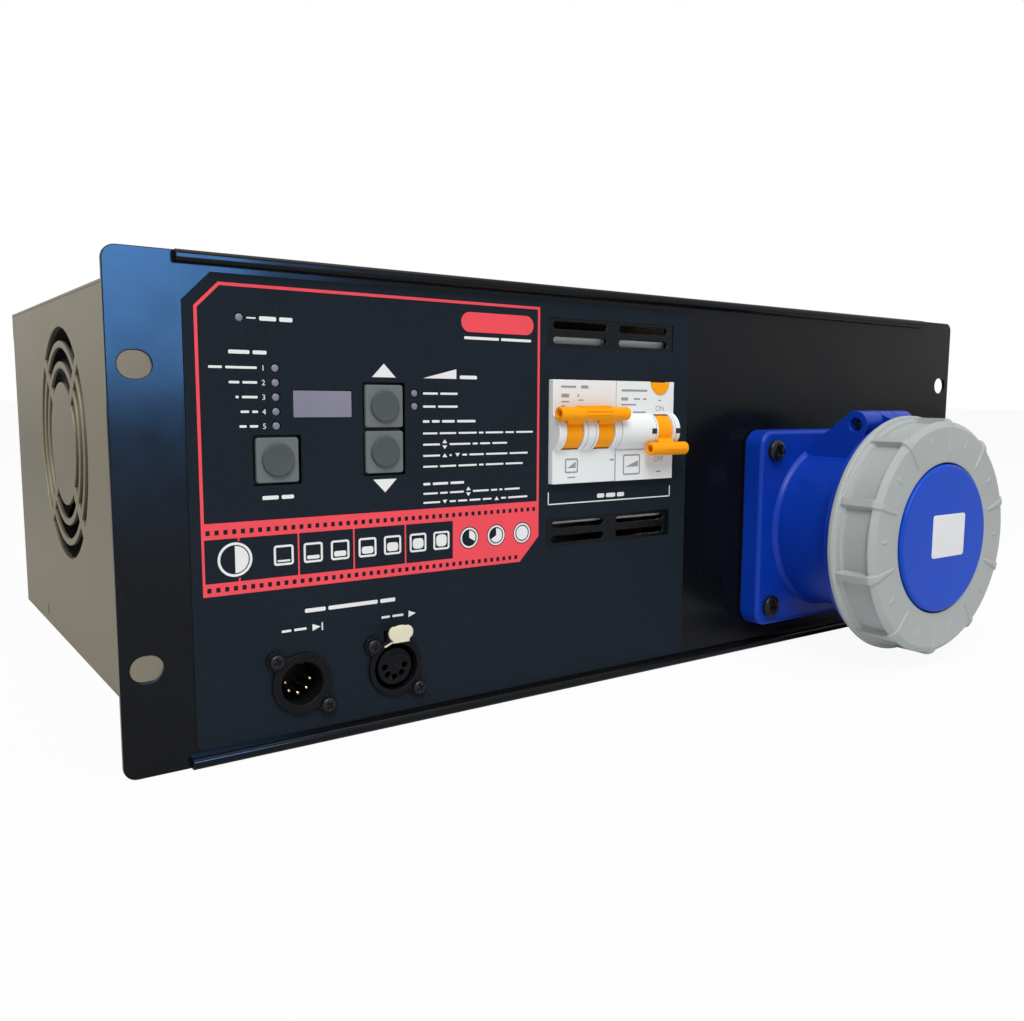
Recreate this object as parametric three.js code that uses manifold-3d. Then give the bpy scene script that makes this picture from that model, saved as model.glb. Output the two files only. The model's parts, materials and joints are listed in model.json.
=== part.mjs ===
// Rack-mounted dimmer pack: a folded front panel with its controls, breaker and inlet-rated
// outlet socket, and the chassis, cooling and power parts behind it.
// Millimetres, +Z up. Sizes below are given in the panel's own frame: X to the right along the
// panel, Y back from its front face, Z up from its bottom edge.

import * as THREE from "three";
import { mergeVertices } from "three/addons/utils/BufferGeometryUtils.js";
import Module from "manifold-3d";

const wasm = await Module();
wasm.setup();

// General clearances
const overrun = 6; // how far a cutter runs past the face it opens
const seatGap = 0.3; // gap between a piece and the piece that carries it
const slideGap = 0.4; // gap round a piece that moves in another
const cutGap = 0.4; // gap between a piece and the cut-out it passes through

// Front panel, a folded sheet
const panelWidth = 482.6;
const panelHeight = 177;
const panelThick = 2;
const panelCorner = 4.5;
const lipProud = 3.5; // how far the folded lips stand forward of the face
const lipHeight = 4.2;
const lipRound = 1.7;
const lipLeftInset = 21.9; // from the panel's left edge to the end of both lips
const lipRightInset = 32.8;
const reliefWidth = 6; // bend relief at the right end of each lip
const reliefDepth = 1.4;
const earSlotInset = 8.75; // from the panel's side edge to the middle of a slot
const earSlotPitchZ = 101.6;
const earSlotLength = 10.8;
const earSlotHeight = 9.2;
const panelMiddle = panelHeight / 2;
const lipLeft = panelWidth / 2 - lipLeftInset;
const lipRight = panelWidth / 2 - lipRightInset;
const earSlotPitchX = panelWidth - 2 * earSlotInset;

// Printed overlay sheet on the panel
const overlayInset = 24.1; // from the panel's left edge
const overlayWidth = 233.8;
const overlayBottom = 5.4;
const overlayDrop = 6.3; // below the panel's top edge
const overlayLeft = -panelWidth / 2 + overlayInset;
const overlayRight = overlayLeft + overlayWidth;
const overlayTop = panelHeight - overlayDrop;
const overlayThick = 0.5;
const overlayChamfer = 9.7;
const overlayCorner = 3;
const ventWindowWidth = 73.4;
const ventWindowHeight = 12.4;
const ventWindowCorner = 1;

// Vent slots in the panel, two rows by two columns in each field
const ventLength = 29.4;
const ventHeight = 3;
const ventPitchX = 36.9;
const ventPitchZ = 6.3;
const ventInset = 46.9; // from the overlay's right edge to the middle of both fields
const ventTopDrop = 19.4; // below the panel's top edge
const ventBottomDrop = 17.4; // below the panel's middle
const ventMiddleX = overlayRight - ventInset;
const ventTopZ = panelHeight - ventTopDrop;
const ventBottomZ = panelMiddle - ventBottomDrop;

// Chassis sheet metal
const earWidth = 20.1; // panel beyond the chassis on each side
const bodyDrop = 0.4; // top of the chassis below the top of the panel
const bodyWidth = panelWidth - 2 * earWidth;
const bodyHeight = panelHeight - bodyDrop;
const bodyDepth = 340.5; // outer face of the rear panel
const sheet = 1.5;
const flange = 12;
const frontUpturn = 9;

// Fan and its grille in the left wall
const fanY = 197;
const fanDrop = 72.2; // below the chassis top
const fanZ = bodyHeight - fanDrop;
const fanSize = 119;
const fanThick = 25.4;
const fanCorner = 6;
const fanBore = 57.5;
const fanPlate = 3.5; // thickness of the motor plate and its struts
const fanStrut = 5;
const fanMotorRadius = 21;
const fanShaftRadius = 2.5;
const fanHubRadius = 19.5;
const fanTip = 55.8;
const fanBladeThick = 1.8;
const fanBladeCount = 7;
const fanBladePitch = 0.62; // radians between a blade and the fan's plane
const fanStudPitch = 105;
const fanStudRadius = 1.9;
const fanStudLength = 22;
const grilleDisc = 30.6; // solid disc in the middle of the grille
const grilleSlot = 6.8;
const grilleRing = 3.3;
const grilleRings = 3;
const grilleSpoke = 5.5;
const wallSlotY = 266;
const wallSlotZ = 8;
const wallSlotWidth = 3;
const wallSlotHeight = 6;

// Exhaust slots in the right wall
const exhaustCount = 12;
const exhaustPitch = 11;
const exhaustWidth = 3.6;
const exhaustHeight = 70;
const exhaustRise = 7.7; // above the chassis middle
const exhaustZ = bodyHeight / 2 + exhaustRise;

// Cover screws at the rear
const coverFlange = 15;
const coverScrewPitch = 300;
const coverScrewCount = 2;
const coverScrewDrop = 8; // below the cover's top
const coverHeadRadius = 3.2;
const coverHeadHeight = 2;
const coverShankRadius = 1.9;
const coverShankLength = 7;

// Control board behind the panel
const boardInset = 5.2; // from the overlay's left edge
const boardMargin = 15; // board beyond the status lights
const boardRise = 2.5; // above the panel's middle
const boardDrop = 12; // below the panel's top edge
const boardLeft = overlayLeft + boardInset;
const boardBottom = panelMiddle + boardRise;
const boardTop = panelHeight - boardDrop;
const boardDepth = 14; // front face of the board behind the panel's front face
const boardThick = 1.6;
const standoffRadius = 2.6;
const standoffInset = 7;
const chipHeight = 2.4;
const chipWidth = 18;
const chipLength = 24;
const headerWidth = 40;
const headerDepth = 9;
const headerHeight = 6;

// Display
const displayInset = 48.8; // from the overlay's left edge
const displayRise = 38.2; // above the panel's middle
const displayX = overlayLeft + displayInset;
const displayZ = panelMiddle + displayRise;
const displayWidth = 23;
const displayHeight = 10.2;
const displayRim = 1.5;
const displayRimThick = 1.2;
const displayModuleWidth = 27;
const displayModuleHeight = 15;
const displayAir = 0.8; // between the window and the module

// Light pipes
const pipeRadius = 1.4;
const pipeBarWidth = 5;
const pipeBarThick = 2.2;
const optionInset = 31.2; // from the overlay's left edge
const optionRise = 50.7; // top light above the panel's middle
const optionX = overlayLeft + optionInset;
const optionTopZ = panelMiddle + optionRise;
const optionPitch = 5.08;
const optionCount = 5;
const driveInset = 19;
const driveDrop = 20.8; // below the panel's top edge
const driveX = overlayLeft + driveInset;
const driveZ = panelHeight - driveDrop;
const statusInset = 86.5;
const statusRise = 42.5;
const statusX = overlayLeft + statusInset;
const boardRight = statusX + boardMargin;
const statusTopZ = panelMiddle + statusRise;
const statusCount = 2;

// Keys
const selectInset = 31.3; // from the overlay's left edge
const selectRise = 18.3; // above the panel's middle
const selectX = overlayLeft + selectInset;
const selectZ = panelMiddle + selectRise;
const arrowInset = 73.4;
const arrowRise = 28.8;
const arrowX = overlayLeft + arrowInset;
const arrowZ = panelMiddle + arrowRise;
const arrowPitch = 17.4;
const keyWidth = 15.5;
const keyHeight = 16;
const keyPlate = 1.7;
const keyProud = 0.4; // cap's face in front of the overlay
const keyCorner = 0.8;
const keyBossRadius = 5.8;
const keyBossHeight = 1.3;
const keyBossEdge = 0.5;
const keyStem = 7;
const keyStemLength = 7.5;
const keyTravel = 1.5;
const keyBase = 17.1;
const keyOpening = 17.8;

// DMX connectors
const dmxInInset = 38.3; // from the overlay's left edge
const dmxThruInset = 76.8;
const dmxInX = overlayLeft + dmxInInset;
const dmxThruX = overlayLeft + dmxThruInset;
const dmxZ = 23.9;
const dmxFlangeRadius = 11.4;
const dmxFlangeThick = 1.5;
const dmxEarRadius = 3.6;
const dmxScrewOffset = 9.75; // each way from the connector's axis, on one diagonal
const dmxShellRadius = 10.6;
const dmxShellLength = 22;
const dmxCupRadius = 8.05;
const dmxCupDepth = 14;
const dmxBaseRadius = 9.2; // bore behind the cup, where the insert's base sits
const dmxPinCircle = 4.9;
const dmxPinRadius = 0.75;
const dmxPinSetback = 3; // tips behind the panel's front face
const dmxPinCount = 5;
const dmxTagLength = 5;
const dmxNoseRadius = 7.4; // plug face of the socket insert
const dmxHoleRadius = 1.25;
const dmxHoleDepth = 8;
const dmxSocketCircle = 4.3;
const dmxHeadRadius = 2.75;
const dmxHeadHeight = 1.8;
const dmxShankRadius = 1.5;
const dmxShankLength = 8;

// Latch tab of the through connector
const latchRise = 14.2; // above the connector's axis
const latchZ = dmxZ + latchRise;
const latchWidth = 10.4;
const latchHeight = 6.8;
const latchThick = 1.2;
const latchProud = 6.4; // front face of the tab in front of the panel
const latchTravel = 1.8;
const latchArmWidth = 5;
const latchArmRise = 11.5;
const latchArmZ = dmxZ + latchArmRise;
const latchArmDepth = 9;
const latchRidgeWidth = 8.4;
const latchRidgeRise = 14.3;
const latchRidgeTop = dmxZ + latchRidgeRise;
const latchRidgeDepth = 14;

// Circuit breakers on their rail
const breakerInset = 82.2; // from the overlay's right edge
const breakerLeft = overlayRight - breakerInset;
const breakerModule = 17.625;
const breakerRise = 26.6; // above the panel's middle
const breakerZ = panelMiddle + breakerRise;
const breakerNose = 45; // height of the part that stands through the panel
const breakerFace = 3.2; // nose in front of the panel
const breakerShoulder = 4.5; // body behind the panel's front face
const breakerHeight = 82;
const breakerRear = 50;
const breakerGap = 0.3; // between the two bodies
const drumRadius = 8.67;
const drumY = 0.37;
const drumWall = 0.6;
const apertureHalf = 7.6; // half height of the window that shows a toggle's band
const apertureDepthShare = 0.2; // of the drum's radius, left in front of its axis
const toggleBandRadius = 7.75;
const toggleWidth = 8.9;
const toggleArmThick = 4;
const toggleBarRadius = 3;
const toggleBarReach = 12.44; // bar's axis from the toggle's axis
const toggleAngle = 40.3; // degrees above or below level
const toggleBandHalf = 120; // degrees of band on each side of the bar
const toggleShaftRadius = 2.4;
const toggleShaftEnd = 1.6;
const pairBarLength = 38;
const soloBarLength = 22.4;
const testRadius = 5.5;
const testProud = 0.6;
const testLength = 4.8;
const testTravel = 1.4;
const sealHole = 2;
const sealHoleDepth = 3;
const sealHoleOffset = 7.4;
const railHeight = 35;
const railDepth = 7.5;
const railThick = 1;
const railBrim = 4;
const railSpare = 12; // rail beyond the breakers at each end
const channelDepth = 5.7;
const bracketThick = 2;
const bracketFoot = 22;
const bracketWidth = 62;
const bracketRise = 12.9; // top of the bracket above the rail's middle

// Outlet socket
const socketShift = 7.4; // left of the middle between the overlay and the chassis wall
const socketX = (overlayRight + bodyWidth / 2) / 2 - socketShift;
const socketZ = 64.5;
const socketWidth = 107;
const socketHeight = 100;
const socketCorner = 8;
const socketFlange = 11.5;
const socketEdge = 2; // step that rounds the flange's front edge
const gasketThick = 1;
const socketScrewX = 88;
const socketScrewZ = 80;
const socketHeadRadius = 5.5;
const socketHeadHeight = 3.6;
const socketShankRadius = 2.5;
const socketShankLength = 20;
const barrelRadius = 42;
const barrelStep = 49.5; // end of the wide barrel in front of the panel
const mouthRadius = 38;
const mouthReach = 72;
const barrelBore = 34.5;
const socketTail = 16; // inside of the rear wall behind the panel's front face
const socketTailWall = 4;
const tailHole = 22;
const insertRadius = 27;
const insertReach = 62;
const keywayWidth = 6;
const keywayDepth = 2.5;
const contactCircle = 15.5;
const contactRadius = 5.2;
const contactBore = 4.1;
const contactReach = 58;
const contactBoreDepth = 42;
const contactStud = 12; // terminal behind the insert
const contactCount = 3;
const camReach = 66;
const camProud = 1.6;
const camWidth = 20;
const camThick = 4;

// Hinge of the socket's lid
const hingeY = -42;
const hingeRise = 53.5; // above the socket's axis
const hingeZ = socketZ + hingeRise;
const eyeRadius = 7;
const eyeOuter = 20; // outer face of each eye, from the socket's axis
const eyeInner = 6; // inner face of each eye
const knuckleHalf = 5.5;
const hingePinRadius = 2;
const hingePinBore = 2.3;
const eyeRecess = 3.4;
const eyeRecessDepth = 3;
const gussetFootRise = 32.5;
const gussetTopRise = 40.5;
const gussetFoot = socketZ + gussetFootRise;
const gussetTop = socketZ + gussetTopRise;
const lidPinEnd = 1.5;

// Lid, its bracket and the bayonet ring
const bracketRear = 52.5; // rear face of the lid bracket in front of the panel
const bracketPlate = 4;
const bracketInner = 44.5;
const bracketOuter = 55.3;
const sleeveOuter = 48.5;
const discFlange = 3.2;
const discRadius = 35.7;
const discFront = 81.5;
const discEdge = 1.6;
const ringRear = 57;
const ringFront = 80;
const ringLipRadius = 58.2;
const ringLipThick = 2.6;
const ringRimRadius = 56;
const ringFaceRadius = 53.3;
const ringChamfer = 2.4;
const ringInner = 49.2;
const ringFaceHole = 36.5;
const ringFaceThick = 3.8;
const ribCount = 10;
const ribFirst = 88; // degrees from +X
const ribWidth = 4;
const ribProud = 1.4;
const ribFaceInner = 41;
const ribFaceProud = 0.7;
const labelWidth = 27;
const labelHeight = 20.6;
const labelThick = 0.3;
const labelShiftX = 2.4;
const labelShiftZ = 1.4;
const labelCorner = 1.5;

// Heat sink and power module
const sinkGap = 12; // between the fan and the heat sink
const sinkLeft = -bodyWidth / 2 + sheet + seatGap + fanThick + sinkGap;
const sinkLength = 138;
const sinkWidth = 122;
const sinkHeight = 92;
const sinkBase = 10;
const finCount = 13;
const finThick = 2.4;
const finFoot = 10; // gap under the inner fins
const sinkFootWidth = 9;
const sinkFootThick = 3;
const moduleLength = 94;
const moduleWidth = 34;
const moduleHeight = 30;
const moduleBase = 5;
const moduleTerminal = 7;
const moduleTerminalRise = 3;

// Choke and its clamp
const chokeInset = 101.7; // from the inside of the right wall
const chokeX = bodyWidth / 2 - sheet - chokeInset;
const chokeY = 238;
const chokeOuter = 64;
const chokeInner = 24;
const chokeHeight = 58;
const chokeEdge = 12;
const clampPlateRadius = 40;
const clampPlateThick = 3;
const clampBoltRadius = 5;
const clampHeadRadius = 8.5;
const clampHeadHeight = 6.5;

// Supply transformer
const supplyInset = 61.7; // from the inside of the left wall
const supplyX = -bodyWidth / 2 + sheet + supplyInset;
const supplyY = 78;
const supplyWidth = 66;
const supplyDepth = 44;
const supplyHeight = 56;
const supplyCoilWidth = 38;
const supplyCoilProud = 9;
const supplyFoot = 9;
const supplyFootThick = 2;

// Terminal block and cable gland
const terminalY = 296;
const terminalWidth = 70;
const terminalOffset = 155; // left of the gland
const terminalDepth = 34;
const terminalHeight = 36;
const terminalWays = 4;
const terminalPocket = 7;
const terminalPocketDepth = 12;
const glandInset = 54.7; // from the inside of the right wall
const glandDrop = 58.6; // below the chassis top
const glandX = bodyWidth / 2 - sheet - glandInset;
const glandZ = bodyHeight - glandDrop;
const terminalX = glandX - terminalOffset;
const glandThread = 19.8;
const glandBore = 13;
const glandHex = 26;
const glandHexThick = 9;
const glandDome = 23;
const glandDomeLength = 20;
const glandMouth = 17;
const glandInside = 13;
const glandNutThick = 6;

// Smoothness of round outlines: sides of a turned form, steps of a rounded corner
const fine = 32;
const medium = 16;
const coarse = 10;
const ringSides = 48;
const pinSides = 8;
const hexSides = 6;
const bandSteps = 8;
const slotSteps = 4;
const cornerSteps = 3;
const bendSteps = 2;

// Shares of the sizes they go with
const crownShare = 0.72; // crown of a screw head
const recessShare = 0.55; // reach and depth of the cross recess
const recessSlotShare = 0.24; // width of the cross recess
const headEdgeShare = 0.45; // straight edge of the head
const crownDropShare = 0.08;
const shankRootShare = 0.2;
const coverCrownShare = 0.7;
const coverEdgeShare = 0.5;
const coverSlotShare = 0.2;
const latchCornerShare = 0.45;
const barEdgeShare = 0.35;
const gussetBackShare = 0.55; // the gusset's corners round the hinge axis, of the eye's radius
const gussetRiseShare = 0.83;
const gussetNoseShare = 0.8;
const gussetDropShare = 0.6;
const gussetFootShare = 0.2;
const strapShare = 0.95;
const discBevelShare = 0.3;
const lipBevelShare = 0.3; // corners of the ring's rear lip
const lipFrontShare = 0.7;
const lipEndShare = 1.4;
const ribRootShare = 0.5;
const bladeChordShare = 0.95;
const chokeEdgeShare = 0.3;
const glandDomeShare = 0.55;
const chipPitchShare = 1.2;

// Derived places
const wallX = bodyWidth / 2;
const wallInner = wallX - sheet;
const coverUnder = bodyHeight - sheet;
const trayRear = bodyDepth - sheet;
const overlayFront = -overlayThick;
const flangeFront = -(gasketThick + socketFlange);
const bracketTop = breakerZ + railHeight / 2;
const breakerMiddle = breakerLeft + 2 * breakerModule;
const frontReach = -(discFront + labelThick);
const rearReach = bodyDepth + sheet + glandHexThick + glandDomeLength;
const middleY = (frontReach + rearReach) / 2;

// Geometry to solid and back

function trianglesOf(geometry) {
  const bare = geometry.clone();
  for (const name of Object.keys(bare.attributes)) {
    if (name !== "position") bare.deleteAttribute(name);
  }
  const merged = mergeVertices(bare);
  const index = Array.from(merged.index.array);
  const place = merged.attributes.position.array;
  const kept = [];
  for (let i = 0; i < index.length; i += 3) {
    const [a, b, c] = index.slice(i, i + 3);
    if (a !== b && b !== c && a !== c) kept.push(a, b, c);
  }
  return { place, kept };
}

function signedVolume(place, index) {
  const corner = [new THREE.Vector3(), new THREE.Vector3(), new THREE.Vector3()];
  let volume = 0;
  for (let i = 0; i < index.length; i += 3) {
    corner.forEach((v, k) => v.fromArray(place, 3 * index[i + k]));
    volume += corner[0].dot(corner[1].clone().cross(corner[2])) / 6;
  }
  return volume;
}

function solid(geometry) {
  const { place, kept } = trianglesOf(geometry);
  if (signedVolume(place, kept) < 0) {
    for (let i = 0; i < kept.length; i += 3) {
      [kept[i + 1], kept[i + 2]] = [kept[i + 2], kept[i + 1]];
    }
  }
  const mesh = new wasm.Mesh({
    numProp: 3,
    vertProperties: new Float32Array(place),
    triVerts: new Uint32Array(kept),
  });
  return new wasm.Manifold(mesh);
}

function join(first, ...others) {
  return others.reduce((whole, piece) => whole.add(piece), first);
}

function cut(base, ...tools) {
  return tools.reduce((whole, tool) => whole.subtract(tool), base);
}

function overlap(first, second) {
  return first.intersect(second);
}

function geometryOf(shape) {
  const mesh = shape.getMesh();
  const geometry = new THREE.BufferGeometry();
  geometry.setAttribute("position", new THREE.BufferAttribute(new Float32Array(mesh.vertProperties), 3));
  geometry.setIndex(new THREE.BufferAttribute(new Uint32Array(mesh.triVerts), 1));
  geometry.computeVertexNormals();
  return geometry;
}

// Basic forms, placed where they belong

// A box between two values on each axis.
function box([x0, x1], [y0, y1], [z0, z1]) {
  const geometry = new THREE.BoxGeometry(x1 - x0, y1 - y0, z1 - z0);
  geometry.translate((x0 + x1) / 2, (y0 + y1) / 2, (z0 + z1) / 2);
  return solid(geometry);
}

// Values a given distance each side of a middle.
function about(middle, half) {
  return [middle - half, middle + half];
}

// Turns a form made along its own Z so that Z runs along the named axis.
const layAlong = {
  x: new THREE.Matrix4().makeBasis(
    new THREE.Vector3(0, 1, 0), new THREE.Vector3(0, 0, 1), new THREE.Vector3(1, 0, 0)),
  y: new THREE.Matrix4().makeBasis(
    new THREE.Vector3(1, 0, 0), new THREE.Vector3(0, 0, 1), new THREE.Vector3(0, -1, 0)),
  z: new THREE.Matrix4(),
};

// An outline carried along an axis. Along x the outline's own axes are y and z, along y they
// are x and z, and along z they are x and y.
function prism(axis, outline, from, to, smooth = coarse) {
  const options = { depth: to - from, bevelEnabled: false, curveSegments: smooth };
  const geometry = new THREE.ExtrudeGeometry(outline, options);
  geometry.applyMatrix4(layAlong[axis]);
  const start = axis === "y" ? to : from;
  geometry.translate(axis === "x" ? start : 0, axis === "y" ? start : 0, axis === "z" ? start : 0);
  return solid(geometry);
}

// A profile of [radius, distance] points turned about an axis that passes through a point.
function turned(axis, profile, [u, v], sides = fine) {
  const points = profile.map(([r, h]) => new THREE.Vector2(r, h));
  const geometry = new THREE.LatheGeometry(points, sides);
  if (axis === "x") {
    geometry.rotateZ(-Math.PI / 2);
    geometry.translate(0, u, v);
  } else if (axis === "y") {
    geometry.translate(u, 0, v);
  } else {
    geometry.rotateX(Math.PI / 2);
    geometry.translate(u, v, 0);
  }
  return solid(geometry);
}

function rod(axis, radius, centre, from, to, sides = medium) {
  return turned(axis, [[0, from], [radius, from], [radius, to], [0, to]], centre, sides);
}

function tube(axis, inner, outer, centre, from, to, sides = fine) {
  const profile = [[inner, from], [outer, from], [outer, to], [inner, to], [inner, from]];
  return turned(axis, profile, centre, sides);
}

function polygon(points) {
  return new THREE.Shape(points.map(([u, v]) => new THREE.Vector2(u, v)));
}

// A rectangle with rounded corners about a middle.
function roundedRect(u, v, width, height, radius) {
  const [x, y] = [width / 2 - radius, height / 2 - radius];
  const shape = new THREE.Shape();
  shape.absarc(u + x, v - y, radius, -Math.PI / 2, 0);
  shape.absarc(u + x, v + y, radius, 0, Math.PI / 2);
  shape.absarc(u - x, v + y, radius, Math.PI / 2, Math.PI);
  shape.absarc(u - x, v - y, radius, Math.PI, 1.5 * Math.PI);
  shape.closePath();
  return shape;
}

// A slot with half-round ends, lying along its first axis.
function slotShape(u, v, length, height) {
  const shape = new THREE.Shape();
  const x = (length - height) / 2;
  shape.absarc(u + x, v, height / 2, -Math.PI / 2, Math.PI / 2);
  shape.absarc(u - x, v, height / 2, Math.PI / 2, 1.5 * Math.PI);
  shape.closePath();
  return shape;
}

// A pie slice between two angles in degrees.
function slice(u, v, radius, from, to) {
  const shape = new THREE.Shape();
  shape.moveTo(u, v);
  shape.absarc(u, v, radius, THREE.MathUtils.degToRad(from), THREE.MathUtils.degToRad(to));
  shape.closePath();
  return shape;
}

function range(count) {
  return Array.from({ length: count }, (_, i) => i);
}

// Materials

function finish(color, roughness, metalness) {
  return new THREE.MeshStandardMaterial({ color, roughness, metalness, flatShading: true });
}

const finishes = {
  blackPaint: () => finish(0x14171b, 0.3, 0.2),
  overlay: () => finish(0x1f2734, 0.6, 0),
  zinc: () => finish(0x8b8673, 0.45, 0.85),
  lilac: () => finish(0x8e8a9c, 0.4, 0),
  board: () => finish(0x1d4a30, 0.6, 0),
  blackPlastic: () => finish(0x17181a, 0.5, 0),
  keyGrey: () => finish(0x4d5557, 0.55, 0),
  whitePlastic: () => finish(0xe6e8e8, 0.45, 0),
  orange: () => finish(0xf58a12, 0.4, 0),
  blue: () => finish(0x1a3fb8, 0.4, 0),
  ringGrey: () => finish(0xa6abaa, 0.5, 0),
  label: () => finish(0xe9ecec, 0.5, 0),
  darkScrew: () => finish(0x1b1b1c, 0.35, 0.8),
  nickel: () => finish(0xd7cfb6, 0.35, 0.8),
  steel: () => finish(0x9a9c9e, 0.4, 0.9),
  brass: () => finish(0xb98f45, 0.35, 0.9),
  aluminium: () => finish(0xb4b7ba, 0.4, 0.9),
  rubber: () => finish(0x131313, 0.9, 0),
  copper: () => finish(0xa9542a, 0.5, 0.4),
};

const assembly = new THREE.Group();
assembly.name = "dimmer_pack";
const panelFrame = new THREE.Group();
panelFrame.position.y = -middleY;
assembly.add(panelFrame);

function part(name, shape, material) {
  const mesh = new THREE.Mesh(geometryOf(shape), material());
  mesh.name = name;
  panelFrame.add(mesh);
  return mesh;
}

// A pan-head screw along Y with a cross recess, its head's underside on the face at seatY.
function crossScrewY(x, z, seatY, headRadius, headHeight, shankRadius, shankLength) {
  const crown = headRadius * crownShare;
  const recess = headRadius * recessShare;
  const recessDepth = headHeight * recessShare;
  const recessWidth = headRadius * recessSlotShare;
  const front = seatY - headHeight;
  const head = turned("y", [
    [0, seatY], [headRadius, seatY], [headRadius, seatY - headHeight * headEdgeShare],
    [crown, front + headHeight * crownDropShare], [0, front],
  ], [x, z], medium);
  const root = seatY - headHeight * shankRootShare;
  const shank = rod("y", shankRadius, [x, z], root, seatY + shankLength, coarse);
  const depth = [front - overrun, front + recessDepth];
  const bar = box(about(x, recess), depth, about(z, recessWidth));
  const cross = box(about(x, recessWidth), depth, about(z, recess));
  return cut(join(head, shank), bar, cross);
}

// Places that several pieces share

const keys = {
  select_button: [selectX, selectZ],
  up_button: [arrowX, arrowZ + arrowPitch / 2],
  down_button: [arrowX, arrowZ - arrowPitch / 2],
};

const dmxScrews = [dmxInX, dmxThruX].flatMap((x) => [
  [x - dmxScrewOffset, dmxZ + dmxScrewOffset],
  [x + dmxScrewOffset, dmxZ - dmxScrewOffset],
]);

const socketScrews = [-1, 1].flatMap((i) => [-1, 1].map((j) => [
  socketX + (i * socketScrewX) / 2,
  socketZ + (j * socketScrewZ) / 2,
]));

const optionLights = range(optionCount).map((i) => [optionX, optionTopZ - i * optionPitch]);
const statusLights = range(statusCount).map((i) => [statusX, statusTopZ - i * optionPitch]);
const allLights = [...optionLights, ...statusLights, [driveX, driveZ]];

// Cuts that the panel and its overlay share
function controlCuts(gap) {
  const through = [-overrun, panelThick + overrun];
  const [near, far] = through;
  const pairHeight = keyOpening + arrowPitch;
  const tools = [
    box(about(selectX, keyOpening / 2 + gap), through, about(selectZ, keyOpening / 2 + gap)),
    box(about(arrowX, keyOpening / 2 + gap), through, about(arrowZ, pairHeight / 2 + gap)),
    box(about(displayX, displayWidth / 2 + gap), through, about(displayZ, displayHeight / 2 + gap)),
    box([breakerLeft - cutGap, breakerLeft + 4 * breakerModule + cutGap], through,
      about(breakerZ, breakerNose / 2 + cutGap)),
  ];
  for (const [x, z] of allLights) {
    tools.push(rod("y", pipeRadius + seatGap, [x, z], near, far, coarse));
  }
  for (const x of [dmxInX, dmxThruX]) {
    tools.push(rod("y", dmxShellRadius + cutGap, [x, dmxZ], near, far, medium));
  }
  for (const [x, z] of dmxScrews) {
    tools.push(rod("y", dmxShankRadius + seatGap, [x, z], near, far, coarse));
  }
  tools.push(box(about(dmxThruX, latchRidgeWidth / 2 + cutGap), through,
    [dmxZ, latchRidgeTop + cutGap]));
  return tools;
}

// Front panel with its lips, slots, cut-outs and the pillars that carry the control board
function frontPanel() {
  const middleZ = panelMiddle;
  const outline = roundedRect(0, middleZ, panelWidth, panelHeight, panelCorner);
  let body = prism("y", outline, 0, panelThick, cornerSteps);
  const lipTop = new THREE.Shape();
  lipTop.moveTo(panelThick / 2, 0);
  lipTop.lineTo(panelThick / 2, lipHeight);
  lipTop.lineTo(-lipProud + lipRound, lipHeight);
  lipTop.absarc(-lipProud + lipRound, lipHeight - lipRound, lipRound, Math.PI / 2, Math.PI);
  lipTop.absarc(-lipProud + lipRound, lipRound, lipRound, Math.PI, 1.5 * Math.PI);
  lipTop.closePath();
  const lip = new THREE.ExtrudeGeometry(lipTop, {
    depth: lipLeft + lipRight, bevelEnabled: false, curveSegments: bendSteps,
  });
  lip.applyMatrix4(layAlong.x);
  lip.translate(-lipLeft, 0, 0);
  const upper = lip.clone();
  upper.translate(0, 0, panelHeight - lipHeight);
  body = join(body, solid(lip), solid(upper));
  const pillars = [boardLeft + standoffInset, boardRight - standoffInset].flatMap((x) =>
    [boardBottom + standoffInset, boardTop - standoffInset].map((z) =>
      rod("y", standoffRadius, [x, z], panelThick / 2, boardDepth, coarse)));
  body = join(body, ...pillars);
  const through = [-overrun, panelThick + overrun];
  const [near, far] = through;
  const tools = controlCuts(0);
  for (const side of [-1, 1]) {
    for (const level of [-1, 1]) {
      const shape = slotShape((side * earSlotPitchX) / 2, middleZ + (level * earSlotPitchZ) / 2,
        earSlotLength, earSlotHeight);
      tools.push(prism("y", shape, near, far, slotSteps));
    }
  }
  for (const z of [0, panelHeight]) {
    tools.push(box([lipRight, lipRight + reliefWidth], through, about(z, reliefDepth)));
  }
  for (const field of [ventTopZ, ventBottomZ]) {
    for (const i of [-1, 1]) {
      for (const j of [-1, 1]) {
        const shape = slotShape(ventMiddleX + (i * ventPitchX) / 2, field + (j * ventPitchZ) / 2,
          ventLength, ventHeight);
        tools.push(prism("y", shape, near, far, cornerSteps));
      }
    }
  }
  tools.push(rod("y", barrelRadius + cutGap, [socketX, socketZ], near, far, fine));
  for (const [x, z] of socketScrews) {
    tools.push(rod("y", socketShankRadius + seatGap, [x, z], near, far, coarse));
  }
  return cut(body, ...tools);
}

// Overlay sheet with a cut corner, rounded corners and open fields round the vents
function frontOverlay() {
  const shape = new THREE.Shape();
  const [left, right, bottom, top] = [overlayLeft, overlayRight, overlayBottom, overlayTop];
  const r = overlayCorner;
  shape.moveTo(left, bottom + r);
  shape.absarc(left + r, bottom + r, r, Math.PI, 1.5 * Math.PI);
  shape.absarc(right - r, bottom + r, r, -Math.PI / 2, 0);
  shape.absarc(right - r, top - r, r, 0, Math.PI / 2);
  shape.lineTo(left + overlayChamfer, top);
  shape.lineTo(left, top - overlayChamfer);
  shape.closePath();
  const sheetBody = prism("y", shape, overlayFront, 0, bendSteps);
  const tools = controlCuts(0);
  for (const z of [ventTopZ, ventBottomZ]) {
    const window = roundedRect(ventMiddleX, z, ventWindowWidth, ventWindowHeight, ventWindowCorner);
    tools.push(prism("y", window, -overrun, overrun, 1));
  }
  return cut(sheetBody, ...tools);
}

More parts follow.
